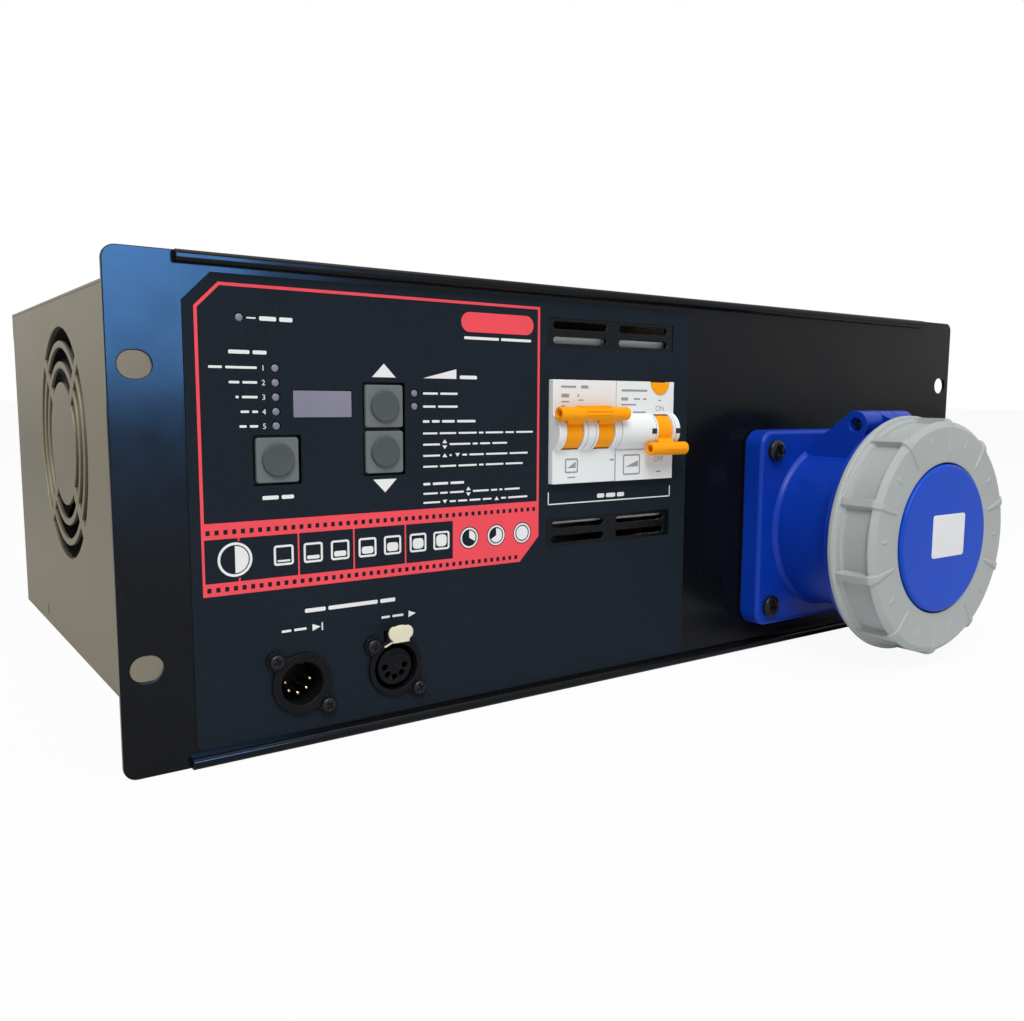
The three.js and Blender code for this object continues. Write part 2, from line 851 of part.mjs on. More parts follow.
// Display window with a rim that holds it behind the panel
function displayWindow() {
  const rimBack = panelThick + seatGap + displayRimThick;
  const [halfX, halfZ] = [displayWidth / 2, displayHeight / 2];
  const pane = box(about(displayX, halfX - seatGap), [overlayFront, rimBack],
    about(displayZ, halfZ - seatGap));
  const rim = box(about(displayX, halfX + displayRim), [panelThick + seatGap, rimBack],
    about(displayZ, halfZ + displayRim));
  return join(pane, rim);
}

// Light pipes: a bar behind the panel with one stub for each light
function lightPipe(places) {
  const zs = places.map(([, z]) => z);
  const x = places[0][0];
  const back = panelThick + seatGap;
  const half = pipeBarWidth / 2;
  const bar = box(about(x, half), [back, back + pipeBarThick],
    [Math.min(...zs) - half, Math.max(...zs) + half]);
  const stubs = places.map(([u, w]) =>
    rod("y", pipeRadius, [u, w], overlayFront, back + pipeBarThick / 2, coarse));
  return join(bar, ...stubs);
}

function controlBoard() {
  const back = boardDepth + boardThick;
  const into = boardThick / 2;
  const middleX = (boardLeft + boardRight) / 2;
  const middleZ = (boardBottom + boardTop) / 2;
  const plate = box([boardLeft, boardRight], [boardDepth + seatGap, back + seatGap],
    [boardBottom, boardTop]);
  const chips = [-1, 0, 1].map((i) =>
    box(about(middleX + i * chipPitchShare * chipLength, chipLength / 2),
      [back - into, back + chipHeight], about(middleZ, chipWidth / 2)));
  const header = box(about(middleX, headerWidth / 2), [back - into, back + headerDepth],
    [boardBottom + headerHeight, boardBottom + 2 * headerHeight]);
  return join(plate, ...chips, header);
}

function displayModule() {
  const front = panelThick + seatGap + displayRimThick + displayAir;
  return box(about(displayX, displayModuleWidth / 2), [front, boardDepth],
    about(displayZ, displayModuleHeight / 2));
}

// Key: a square cap with a round boss in front and a stem behind
function keyCap(x, z) {
  const front = overlayFront - keyProud;
  const back = front + keyPlate;
  const plate = prism("y", roundedRect(x, z, keyWidth, keyHeight, keyCorner), front, back, 1);
  const boss = turned("y", [
    [0, front + keyPlate / 2], [keyBossRadius, front + keyPlate / 2],
    [keyBossRadius, front - keyBossHeight + keyBossEdge],
    [keyBossRadius - keyBossEdge, front - keyBossHeight], [0, front - keyBossHeight],
  ], [x, z], medium);
  const stem = box(about(x, keyStem / 2), [back - keyPlate / 2, back + keyStemLength],
    about(z, keyStem / 2));
  return join(plate, boss, stem);
}

// Switch body behind a key, with the well that its stem slides in
function keySwitch(x, z) {
  const front = overlayFront - keyProud + keyPlate + keyTravel + seatGap;
  const well = keyStem / 2 + slideGap;
  const wellEnd = overlayFront - keyProud + keyPlate + keyStemLength + keyTravel + slideGap;
  const body = box(about(x, keyBase / 2), [front, boardDepth], about(z, keyBase / 2));
  return cut(body, box(about(x, well), [front - overrun, wellEnd], about(z, well)));
}

// DMX connectors

// A flange with two screw ears, a barrel behind it, and the bores for the insert.
function dmxShell(x, cupRadius) {
  const front = overlayFront - dmxFlangeThick;
  const ears = [[-1, 1], [1, -1]].map(([i, j]) => {
    const [u, w] = [x + i * dmxScrewOffset, dmxZ + j * dmxScrewOffset];
    const pad = rod("y", dmxEarRadius, [u, w], front, overlayFront, medium);
    const bridge = new THREE.BoxGeometry(dmxScrewOffset, dmxFlangeThick, 2 * dmxEarRadius);
    bridge.rotateY(Math.PI / 4);
    bridge.translate((x + u) / 2, (front + overlayFront) / 2, (dmxZ + w) / 2);
    return join(pad, solid(bridge));
  });
  const disc = rod("y", dmxFlangeRadius, [x, dmxZ], front, overlayFront, fine);
  const barrel = rod("y", dmxShellRadius, [x, dmxZ], overlayFront - dmxFlangeThick / 2,
    dmxShellLength, fine);
  const holes = [[-1, 1], [1, -1]].map(([i, j]) =>
    rod("y", dmxShankRadius + seatGap, [x + i * dmxScrewOffset, dmxZ + j * dmxScrewOffset],
      front - overrun, overlayFront + overrun, coarse));
  const cup = rod("y", cupRadius, [x, dmxZ], front - overrun, dmxShellLength + overrun, fine);
  const rear = rod("y", dmxBaseRadius, [x, dmxZ], dmxCupDepth, dmxShellLength + overrun, fine);
  return { body: join(disc, barrel, ...ears), tools: [cup, rear, ...holes] };
}

function dmxInShell() {
  const { body, tools } = dmxShell(dmxInX, dmxCupRadius);
  return cut(body, ...tools);
}

function dmxThruShell() {
  const { body, tools } = dmxShell(dmxThruX, dmxBaseRadius);
  const front = overlayFront - dmxFlangeThick;
  const ridge = box(about(dmxThruX, latchRidgeWidth / 2), [front, latchRidgeDepth],
    [dmxZ + dmxBaseRadius, latchRidgeTop]);
  const slot = box(about(dmxThruX, latchArmWidth / 2 + slideGap),
    [front - overrun, latchRidgeDepth + overrun],
    about(latchArmZ, latchThick / 2 + slideGap));
  return cut(join(body, ridge), ...tools, slot);
}

// Pins or holes sit on the lower half of a circle.
function dmxContacts(x, circle) {
  return range(dmxPinCount).map((i) => {
    const angle = -Math.PI * (i / (dmxPinCount - 1));
    return [x + circle * Math.cos(angle), dmxZ + circle * Math.sin(angle)];
  });
}

function dmxBase(x) {
  return rod("y", dmxBaseRadius - seatGap, [x, dmxZ], dmxCupDepth + seatGap, dmxShellLength, fine);
}

function dmxInInsert() {
  const pins = dmxContacts(dmxInX, dmxPinCircle).map(([u, w]) =>
    rod("y", dmxPinRadius, [u, w], dmxPinSetback, dmxShellLength + dmxTagLength, pinSides));
  return join(dmxBase(dmxInX), ...pins);
}

function dmxThruInsert() {
  const nose = rod("y", dmxNoseRadius, [dmxThruX, dmxZ], overlayFront, dmxShellLength, fine);
  const tags = dmxContacts(dmxThruX, dmxSocketCircle).map(([u, w]) =>
    rod("y", dmxPinRadius, [u, w], dmxCupDepth + dmxPinSetback,
      dmxShellLength + dmxTagLength, pinSides));
  const holes = dmxContacts(dmxThruX, dmxSocketCircle).map(([u, w]) =>
    rod("y", dmxHoleRadius, [u, w], overlayFront - overrun, dmxHoleDepth, pinSides));
  return cut(join(nose, dmxBase(dmxThruX), ...tags), ...holes);
}

// Latch: a rounded tab in front with an arm that runs back into the shell
function dmxLatch() {
  const corner = latchHeight * latchCornerShare;
  const tabShape = roundedRect(dmxThruX, latchZ, latchWidth, latchHeight, corner);
  const tab = prism("y", tabShape, -latchProud, -latchProud + latchThick, cornerSteps);
  const arm = box(about(dmxThruX, latchArmWidth / 2), [-latchProud + latchThick / 2, latchArmDepth],
    about(latchArmZ, latchThick / 2));
  return join(tab, arm);
}

// Circuit breakers

const breakerBands = {
  pair: [breakerLeft + breakerModule / 2, breakerLeft + 1.5 * breakerModule],
  solo: [breakerLeft + 3.5 * breakerModule],
};

// Body profile with its nose, shoulders and the channel for the rail
function breakerProfile() {
  const nose = breakerNose / 2;
  const half = breakerHeight / 2;
  const channel = railHeight / 2 + seatGap;
  return polygon([
    [-breakerFace, breakerZ - nose], [breakerShoulder, breakerZ - nose],
    [breakerShoulder, breakerZ - half], [breakerRear, breakerZ - half],
    [breakerRear, breakerZ - channel], [breakerRear - channelDepth, breakerZ - channel],
    [breakerRear - channelDepth, breakerZ + channel], [breakerRear, breakerZ + channel],
    [breakerRear, breakerZ + half], [breakerShoulder, breakerZ + half],
    [breakerShoulder, breakerZ + nose], [-breakerFace, breakerZ + nose],
  ]);
}

// A breaker body between two x values, with a window and a hollow for each toggle band
function breakerBody(x0, x1, bands) {
  const block = prism("x", breakerProfile(), x0, x1);
  const drum = rod("x", drumRadius, [drumY, breakerZ], x0, x1, fine);
  const hollow = drumRadius - drumWall;
  const tools = bands.flatMap((x) => {
    const width = about(x, toggleWidth / 2 + slideGap);
    return [
      rod("x", hollow, [drumY, breakerZ], width[0], width[1], fine),
      box(width, [drumY - drumRadius - overrun, drumY - drumRadius * apertureDepthShare],
        about(breakerZ, apertureHalf)),
    ];
  });
  const first = Math.min(...bands) - toggleWidth / 2 - slideGap - toggleShaftEnd - slideGap;
  const last = Math.max(...bands) + toggleWidth / 2 + slideGap + toggleShaftEnd + slideGap;
  tools.push(rod("x", toggleShaftRadius + slideGap, [drumY, breakerZ], first, last, coarse));
  return cut(join(block, drum), ...tools);
}

// Toggle: bands in the drum, a shaft through them, and a bar in front
function toggle(bands, barMiddle, barLength, angle) {
  const rad = THREE.MathUtils.degToRad(angle);
  const barY = drumY - toggleBarReach * Math.cos(rad);
  const barZ = breakerZ + toggleBarReach * Math.sin(rad);
  const pieces = bands.flatMap((x) => {
    const [x0, x1] = about(x, toggleWidth / 2);
    const pie = slice(drumY, breakerZ, toggleBandRadius, 180 - angle - toggleBandHalf,
      180 - angle + toggleBandHalf);
    const band = prism("x", pie, x0, x1, bandSteps);
    const arm = new THREE.BoxGeometry(x1 - x0, toggleBarReach, toggleArmThick);
    arm.translate((x0 + x1) / 2, -toggleBarReach / 2, 0);
    arm.rotateX(-rad);
    arm.translate(0, drumY, breakerZ);
    return [band, solid(arm)];
  });
  const first = Math.min(...bands) - toggleWidth / 2 - toggleShaftEnd;
  const last = Math.max(...bands) + toggleWidth / 2 + toggleShaftEnd;
  const shaft = rod("x", toggleShaftRadius, [drumY, breakerZ], first, last, coarse);
  const [b0, b1] = about(barMiddle, barLength / 2);
  const edge = toggleBarRadius * barEdgeShare;
  const bar = turned("x", [
    [0, b0], [toggleBarRadius - edge, b0], [toggleBarRadius, b0 + edge],
    [toggleBarRadius, b1 - edge], [toggleBarRadius - edge, b1], [0, b1],
  ], [barY, barZ], medium);
  return join(bar, shaft, ...pieces);
}

function mcbBody() {
  const right = breakerMiddle - breakerGap / 2;
  return breakerBody(breakerLeft, right, breakerBands.pair);
}

function rcdBody() {
  const left = breakerMiddle + breakerGap / 2;
  const right = breakerLeft + 4 * breakerModule;
  const x = breakerBands.solo[0];
  const top = breakerZ + breakerNose / 2;
  const depth = -breakerFace - testProud + testLength + testTravel + slideGap;
  const pocket = prism("y", slice(x, top, testRadius + slideGap, 180, 360),
    -breakerFace - overrun, depth, coarse);
  const lid = box(about(x, testRadius + slideGap), [-breakerFace - overrun, depth],
    about(top, slideGap));
  const front = drumY - drumRadius;
  const seals = [-1, 1].map((side) =>
    box(about(x + side * sealHoleOffset, sealHole / 2), [front - overrun, front + sealHoleDepth],
      about(breakerZ, sealHole / 2)));
  return cut(breakerBody(left, right, breakerBands.solo), pocket, lid, ...seals);
}

function testButton() {
  const x = breakerBands.solo[0];
  const top = breakerZ + breakerNose / 2 - slideGap;
  const front = -breakerFace - testProud;
  return prism("y", slice(x, top, testRadius, 180, 360), front, front + testLength, coarse);
}

// Rail: a hat section with its brims in the breakers' channel
function dinRail() {
  const front = breakerRear - channelDepth + seatGap;
  const half = railHeight / 2;
  const inner = half - railBrim;
  const shape = polygon([
    [front, breakerZ + half], [front, breakerZ + inner - railThick],
    [front + railDepth - railThick, breakerZ + inner - railThick],
    [front + railDepth - railThick, breakerZ - inner + railThick],
    [front, breakerZ - inner + railThick], [front, breakerZ - half],
    [front + railThick, breakerZ - half], [front + railThick, breakerZ - inner],
    [front + railDepth, breakerZ - inner], [front + railDepth, breakerZ + inner],
    [front + railThick, breakerZ + inner], [front + railThick, breakerZ + half],
  ]);
  return prism("x", shape, breakerLeft - railSpare, breakerLeft + 4 * breakerModule + railSpare);
}

// Bracket that carries the rail on the chassis floor
function railBracket() {
  const front = breakerRear - channelDepth + seatGap + railDepth + seatGap;
  const x = about(breakerMiddle, bracketWidth / 2);
  const floor = sheet + seatGap;
  const upright = box(x, [front, front + bracketThick], [floor, breakerZ + bracketRise]);
  const foot = box(x, [front, front + bracketFoot], [floor, floor + bracketThick]);
  return join(upright, foot);
}

// Outlet socket

// Gasket and flange share one outline.
function socketOutline(inset) {
  return roundedRect(socketX, socketZ, socketWidth - 2 * inset, socketHeight - 2 * inset,
    socketCorner - inset);
}

function socketScrewHoles(from, to) {
  return socketScrews.map(([x, z]) =>
    rod("y", socketShankRadius + seatGap, [x, z], from, to, coarse));
}

function socketGasket() {
  const plate = prism("y", socketOutline(socketEdge / 2), -gasketThick, 0, cornerSteps);
  const hole = rod("y", barrelRadius + cutGap, [socketX, socketZ], -overrun, overrun, fine);
  return cut(plate, hole, ...socketScrewHoles(-overrun, overrun));
}

// Housing: flange, barrel, rear wall, bayonet cams and the two hinge eyes
function socketHousing() {
  const seat = -gasketThick;
  const axis = [socketX, socketZ];
  const edge = flangeFront + socketEdge;
  const plate = prism("y", socketOutline(0), edge, seat, cornerSteps);
  const crown = prism("y", socketOutline(socketEdge / 2), flangeFront, edge, cornerSteps);
  const barrel = turned("y", [
    [0, -mouthReach], [mouthRadius, -mouthReach], [mouthRadius, -barrelStep],
    [barrelRadius, -barrelStep], [barrelRadius, socketTail + socketTailWall],
    [0, socketTail + socketTailWall],
  ], axis);
  const cams = [-1, 1].map((side) =>
    box(about(socketX + side * mouthRadius, camProud), [-camReach, -camReach + camThick],
      about(socketZ, camWidth / 2)));
  const gusset = polygon([
    [edge, gussetFoot], [edge, gussetTop], [flangeFront, gussetTop],
    [hingeY + eyeRadius * gussetBackShare, hingeZ + eyeRadius * gussetRiseShare],
    [hingeY - eyeRadius * gussetNoseShare, hingeZ - eyeRadius * gussetDropShare],
    [hingeY - eyeRadius * gussetFootShare, gussetFoot],
  ]);
  const eyes = [-1, 1].map((side) => {
    const [x0, x1] = [socketX + side * eyeInner, socketX + side * eyeOuter].sort((a, b) => a - b);
    const eye = rod("x", eyeRadius, [hingeY, hingeZ], x0, x1, medium);
    return join(eye, prism("x", gusset, x0, x1));
  });
  const solidBody = join(plate, crown, barrel, ...cams, ...eyes);
  const bore = rod("y", barrelBore, axis, -mouthReach - overrun, socketTail, fine);
  const tail = rod("y", tailHole, axis, socketTail - overrun,
    socketTail + socketTailWall + overrun, medium);
  const pin = rod("x", hingePinBore, [hingeY, hingeZ], socketX - eyeOuter - overrun,
    socketX + eyeOuter + overrun, coarse);
  const recess = rod("x", eyeRecess, [hingeY, hingeZ], socketX - eyeOuter - overrun,
    socketX - eyeOuter + eyeRecessDepth, medium);
  const screwHoles = socketScrewHoles(flangeFront - overrun, overrun);
  return cut(solidBody, bore, tail, pin, recess, ...screwHoles);
}

const contactPlaces = range(contactCount).map((i) => {
  const angle = Math.PI / 2 + (i * 2 * Math.PI) / contactCount;
  return [socketX + contactCircle * Math.cos(angle), socketZ + contactCircle * Math.sin(angle)];
});

function socketInsert() {
  const back = socketTail - seatGap;
  const core = rod("y", insertRadius, [socketX, socketZ], -insertReach, back, medium);
  const holes = contactPlaces.map((place) =>
    rod("y", contactRadius + seatGap, place, -insertReach - overrun, back + overrun, medium));
  const bottom = socketZ - insertRadius;
  const keyway = box(about(socketX, keywayWidth / 2), [-insertReach - overrun, -insertReach / 2],
    [bottom - overrun, bottom + keywayDepth]);
  return cut(core, ...holes, keyway);
}

function socketContact(place) {
  const body = rod("y", contactRadius, place, -contactReach, socketTail + contactStud, medium);
  const bore = rod("y", contactBore, place, -contactReach - overrun,
    -contactReach + contactBoreDepth, medium);
  return cut(body, bore);
}

// Lid bracket: a ring plate with a sleeve in front, and the knuckle that hangs on the pin
function lidBracket() {
  const axis = [socketX, socketZ];
  const rear = -bracketRear;
  const front = rear - bracketPlate;
  const sleeveFront = -mouthReach - seatGap;
  const ring = tube("y", bracketInner, bracketOuter, axis, front, rear);
  const sleeve = tube("y", bracketInner, sleeveOuter, axis, sleeveFront, front + bracketPlate / 2);
  const knuckle = rod("x", eyeRadius, [hingeY, hingeZ], socketX - knuckleHalf,
    socketX + knuckleHalf, medium);
  const strapTop = socketZ + bracketOuter;
  const strapFoot = socketZ + bracketInner + bracketPlate;
  const strap = polygon([
    [front, strapFoot], [rear, strapFoot], [hingeY, hingeZ - eyeRadius * strapShare],
    [hingeY, hingeZ + eyeRadius * strapShare], [front, strapTop],
  ]);
  const arm = prism("x", strap, socketX - knuckleHalf, socketX + knuckleHalf);
  const pin = rod("x", hingePinBore, [hingeY, hingeZ], socketX - eyeOuter, socketX + eyeOuter,
    coarse);
  return cut(join(ring, sleeve, knuckle, arm), pin);
}

// Lid disc: a flange that closes the mouth and a blue face that fills the ring
function lidDisc() {
  const back = -mouthReach - seatGap;
  const step = back - discFlange;
  const bevel = discEdge * discBevelShare;
  return turned("y", [
    [0, back - seatGap], [sleeveOuter, back - seatGap], [sleeveOuter, step],
    [discRadius, step], [discRadius, -discFront + discEdge],
    [discRadius - bevel, -discFront + bevel], [discRadius - discEdge, -discFront],
    [0, -discFront],
  ], [socketX, socketZ]);
}

// Bayonet ring: a turned shell with grip ribs that fold over onto its face
function bayonetRing() {
  const axis = [socketX, socketZ];
  const faceBack = -ringFront + ringFaceThick;
  const shell = turned("y", [
    [ringInner, -ringRear], [ringLipRadius - ringChamfer * lipBevelShare, -ringRear],
    [ringLipRadius, -ringRear - ringLipThick * lipBevelShare],
    [ringLipRadius, -ringRear - ringLipThick * lipFrontShare],
    [ringRimRadius, -ringRear - ringLipThick * lipEndShare],
    [ringRimRadius, -ringFront + ringChamfer],
    [ringFaceRadius, -ringFront], [ringFaceHole, -ringFront], [ringFaceHole, faceBack],
    [ringInner, faceBack], [ringInner, -ringRear],
  ], axis, ringSides);
  const ribs = range(ribCount).map((i) => {
    const angle = ribFirst + (i * 360) / ribCount;
    const outer = ringRimRadius + ribProud;
    const shape = polygon([
      [ringRimRadius - ribProud, -ringRear - ringLipThick * ribRootShare],
      [outer, -ringRear - ringLipThick * lipFrontShare],
      [outer, -ringFront + ringChamfer], [ringFaceRadius, -ringFront - ribFaceProud],
      [ribFaceInner, -ringFront], [ribFaceInner, -ringFront + ringFaceThick / 2],
      [ringRimRadius - ribProud, -ringFront + ringFaceThick / 2],
    ]);
    const geometry = new THREE.ExtrudeGeometry(shape, { depth: ribWidth, bevelEnabled: false });
    geometry.translate(0, 0, -ribWidth / 2);
    geometry.rotateY(-THREE.MathUtils.degToRad(angle));
    geometry.translate(socketX, 0, socketZ);
    return solid(geometry);
  });
  return join(shell, ...ribs);
}

function capLabel() {
  const shape = roundedRect(socketX + labelShiftX, socketZ + labelShiftZ, labelWidth, labelHeight,
    labelCorner);
  return prism("y", shape, -discFront - labelThick, -discFront, 1);
}

function hingePin() {
  return rod("x", hingePinRadius, [hingeY, hingeZ], socketX - eyeOuter + lidPinEnd,
    socketX + eyeOuter - lidPinEnd, coarse);
}

// Chassis

// Grille: ring slots broken by four spokes
function grilleCuts() {
  const [near, far] = [-wallX - overrun, -wallInner + overrun];
  const centre = [fanY, fanZ];
  const pitch = grilleSlot + grilleRing;
  const rings = range(grilleRings).map((i) => {
    const inner = grilleDisc + i * pitch;
    return tube("x", inner, inner + grilleSlot, centre, near, far, fine);
  });
  const reach = grilleDisc + grilleRings * pitch;
  const spokes = [-1, 1].map((side) => {
    const bar = new THREE.BoxGeometry(far - near + overrun, 2 * reach, grilleSpoke);
    bar.rotateX((side * Math.PI) / 4);
    bar.translate((near + far) / 2, fanY, fanZ);
    return solid(bar);
  });
  return rings.map((ring) => cut(ring, ...spokes));
}

// Tray: floor and two walls folded from one sheet, with flanges that carry the other sheets
function chassisTray() {
  const x = [-wallX, wallX];
  const y = [panelThick, trayRear];
  const floor = box(x, y, [0, sheet]);
  const walls = [-1, 1].map((side) => {
    const [x0, x1] = [side * wallInner, side * wallX].sort((a, b) => a - b);
    return box([x0, x1], y, [0, coverUnder]);
  });
  const flanges = [-1, 1].flatMap((side) => {
    const [x0, x1] = [side * (wallX - flange), side * wallX].sort((a, b) => a - b);
    return [
      box([x0, x1], [panelThick, panelThick + sheet], [0, coverUnder]),
      box([x0, x1], [trayRear - sheet, trayRear], [0, coverUnder]),
      box([x0, x1], y, [coverUnder - sheet, coverUnder]),
    ];
  });
  const upturn = box(x, [panelThick, panelThick + sheet], [0, frontUpturn]);
  const rearUpturn = box(x, [trayRear - sheet, trayRear], [0, flange]);
  const studs = [-1, 1].flatMap((i) => [-1, 1].map((j) =>
    rod("x", fanStudRadius, [fanY + (i * fanStudPitch) / 2, fanZ + (j * fanStudPitch) / 2],
      -wallX + sheet / 2, -wallInner + fanStudLength, coarse)));
  const body = join(floor, ...walls, ...flanges, upturn, rearUpturn, ...studs);
  const exhausts = range(exhaustCount).map((i) => {
    const middle = fanY + (i - (exhaustCount - 1) / 2) * exhaustPitch;
    const shape = slotShape(0, 0, exhaustHeight, exhaustWidth);
    const geometry = new THREE.ExtrudeGeometry(shape, {
      depth: sheet + 2 * overrun, bevelEnabled: false, curveSegments: bendSteps,
    });
    geometry.rotateZ(Math.PI / 2);
    geometry.applyMatrix4(layAlong.x);
    geometry.translate(wallInner - overrun, middle, exhaustZ);
    return solid(geometry);
  });
  const small = box([-wallX - overrun, -wallInner + overrun], about(wallSlotY, wallSlotWidth / 2),
    about(wallSlotZ, wallSlotHeight / 2));
  return cut(body, ...grilleCuts(), ...exhausts, small);
}

const coverScrews = range(coverScrewCount).map((i) => [
  (i - (coverScrewCount - 1) / 2) * coverScrewPitch,
  bodyHeight - coverScrewDrop,
]);

function topCover() {
  const plate = box([-wallX, wallX], [panelThick, bodyDepth + sheet], [coverUnder, bodyHeight]);
  const apron = box([-wallX, wallX], [bodyDepth, bodyDepth + sheet],
    [bodyHeight - coverFlange, bodyHeight]);
  const holes = coverScrews.map(([x, z]) =>
    rod("y", coverShankRadius + seatGap, [x, z], bodyDepth - overrun,
      bodyDepth + sheet + overrun, coarse));
  return cut(join(plate, apron), ...holes);
}

function rearPanel() {
  const plate = box([-wallX, wallX], [trayRear, bodyDepth], [0, coverUnder]);
  const gland = rod("y", glandThread + seatGap, [glandX, glandZ], trayRear - overrun,
    bodyDepth + overrun, fine);
  const holes = coverScrews.map(([x, z]) =>
    rod("y", coverShankRadius + seatGap, [x, z], trayRear - overrun, bodyDepth + overrun, coarse));
  return cut(plate, gland, ...holes);
}

// Cover screw: a pan head behind the cover's apron, its shank pointing forward
function coverScrew(x, z) {
  const seat = bodyDepth + sheet;
  const head = turned("y", [
    [0, seat], [coverHeadRadius, seat],
    [coverHeadRadius, seat + coverHeadHeight * coverEdgeShare],
    [coverHeadRadius * coverCrownShare, seat + coverHeadHeight], [0, seat + coverHeadHeight],
  ], [x, z], medium);
  const root = seat + coverHeadHeight * shankRootShare;
  const shank = rod("y", coverShankRadius, [x, z], seat - coverShankLength, root, coarse);
  const slot = coverHeadRadius * coverSlotShare;
  const reach = coverHeadRadius * recessShare;
  const depth = [seat + coverHeadHeight * coverEdgeShare, seat + coverHeadHeight + overrun];
  const bar = box(about(x, reach), depth, about(z, slot));
  const cross = box(about(x, slot), depth, about(z, reach));
  return cut(join(head, shank), bar, cross);
}

// Fan

const fanLeft = -wallInner + seatGap;
const fanRight = fanLeft + fanThick;

function fanFrame() {
  const centre = [fanY, fanZ];
  const outline = roundedRect(fanY, fanZ, fanSize, fanSize, fanCorner);
  const outer = prism("x", outline, fanLeft, fanRight, bendSteps);
  const bore = rod("x", fanBore, centre, fanLeft - overrun, fanRight + overrun, fine);
  const plateFrom = fanRight - fanPlate;
  const motor = rod("x", fanMotorRadius, centre, plateFrom, fanRight, medium);
  const struts = range(4).map((i) => {
    const bar = new THREE.BoxGeometry(fanPlate, fanBore + fanStrut, fanStrut);
    bar.translate((plateFrom + fanRight) / 2, (fanBore + fanStrut) / 2, 0);
    bar.rotateX((i * Math.PI) / 2 + Math.PI / 8);
    bar.translate(0, fanY, fanZ);
    return solid(bar);
  });
  const shaft = rod("x", fanShaftRadius + slideGap, centre, plateFrom - overrun, fanRight + overrun, coarse);
  const studs = [-1, 1].flatMap((i) => [-1, 1].map((j) =>
    rod("x", fanStudRadius + slideGap, [fanY + (i * fanStudPitch) / 2, fanZ + (j * fanStudPitch) / 2],
      fanLeft - overrun, fanRight + overrun, coarse)));
  return cut(join(cut(outer, bore), motor, ...struts), shaft, ...studs);
}

function fanRotor() {
  const centre = [fanY, fanZ];
  const hubFrom = fanLeft + 2 * slideGap;
  const hubTo = fanRight - fanPlate - 2 * slideGap;
  const hub = rod("x", fanHubRadius, centre, hubFrom, hubTo, medium);
  const shaft = rod("x", fanShaftRadius, centre, hubTo - fanPlate, fanRight - slideGap, coarse);
  const span = fanTip - fanHubRadius / 2;
  const chord = (hubTo - hubFrom) * bladeChordShare;
  const blades = range(fanBladeCount).map((i) => {
    const blade = new THREE.BoxGeometry(chord, fanBladeThick, span);
    blade.rotateZ(fanBladePitch);
    blade.translate((hubFrom + hubTo) / 2, 0, fanHubRadius / 2 + span / 2);
    blade.rotateX((i * 2 * Math.PI) / fanBladeCount);
    blade.translate(0, fanY, fanZ);
    return solid(blade);
  });
  const sweep = rod("x", fanTip, centre, hubFrom, hubTo, fine);
  return join(hub, shaft, ...blades.map((blade) => overlap(blade, sweep)));
}

// Heat sink: a base on top, fins hanging in the air stream and two feet on the floor
function heatSink() {
  const floor = sheet + seatGap;
  const top = floor + sinkHeight;
  const [y0, y1] = about(fanY, sinkWidth / 2);
  const x = [sinkLeft, sinkLeft + sinkLength];
  const base = box(x, [y0, y1], [top - sinkBase, top]);
  const pitch = (sinkWidth - finThick) / (finCount - 1);
  const fins = range(finCount).map((i) => {
    const isEdge = i === 0 || i === finCount - 1;
    const y = y0 + i * pitch;
    return box(x, [y, y + finThick], [isEdge ? floor : floor + finFoot, top - sinkBase / 2]);
  });
  const feet = [
    box(x, [y0 - sinkFootWidth, y0 + finThick / 2], [floor, floor + sinkFootThick]),
    box(x, [y1 - finThick / 2, y1 + sinkFootWidth], [floor, floor + sinkFootThick]),
  ];
  return join(base, ...fins, ...feet);
}

function thyristorModule() {
  const bottom = sheet + seatGap + sinkHeight + seatGap;
  const middleX = sinkLeft + sinkLength / 2;
  const base = box(about(middleX, moduleLength / 2), about(fanY, moduleWidth / 2),
    [bottom, bottom + moduleBase]);
  const body = box(about(middleX, moduleLength / 2 - moduleBase), about(fanY, moduleWidth / 2),
    [bottom, bottom + moduleHeight]);
  const terminals = [-1, 0, 1].map((i) =>
    rod("z", moduleTerminal, [middleX + (i * moduleLength) / 4, fanY], bottom + moduleHeight / 2,
      bottom + moduleHeight + moduleTerminalRise, coarse));
  return join(base, body, ...terminals);
}

// Choke: a wound ring lying on the floor
function choke() {
  const bottom = sheet + seatGap;
  const top = bottom + chokeHeight;
  const edge = chokeEdge * chokeEdgeShare;
  return turned("z", [
    [chokeInner, bottom + edge], [chokeInner + edge, bottom], [chokeOuter - edge, bottom],
    [chokeOuter, bottom + edge], [chokeOuter, top - edge], [chokeOuter - edge, top],
    [chokeInner + edge, top], [chokeInner, top - edge], [chokeInner, bottom + edge],
  ], [chokeX, chokeY]);
}

function chokeClamp() {
  const floor = sheet + seatGap;
  const seat = floor + chokeHeight + seatGap;
  const plate = rod("z", clampPlateRadius, [chokeX, chokeY], seat, seat + clampPlateThick, fine);
  const bolt = rod("z", clampBoltRadius, [chokeX, chokeY], floor, seat + clampPlateThick / 2, medium);
  const head = rod("z", clampHeadRadius, [chokeX, chokeY], seat + clampPlateThick / 2,
    seat + clampPlateThick + clampHeadHeight, hexSides);
  return join(plate, bolt, head);
}

function supplyTransformer() {
  const floor = sheet + seatGap;
  const core = box(about(supplyX, supplyWidth / 2), about(supplyY, supplyDepth / 2 - supplyCoilProud),
    [floor, floor + supplyHeight]);
  const coil = box(about(supplyX, supplyCoilWidth / 2), about(supplyY, supplyDepth / 2),
    [floor + supplyCoilProud, floor + supplyHeight - supplyCoilProud]);
  const feet = box(about(supplyX, supplyWidth / 2 + supplyFoot), about(supplyY, supplyDepth / 4),
    [floor, floor + supplyFootThick]);
  return join(core, coil, feet);
}

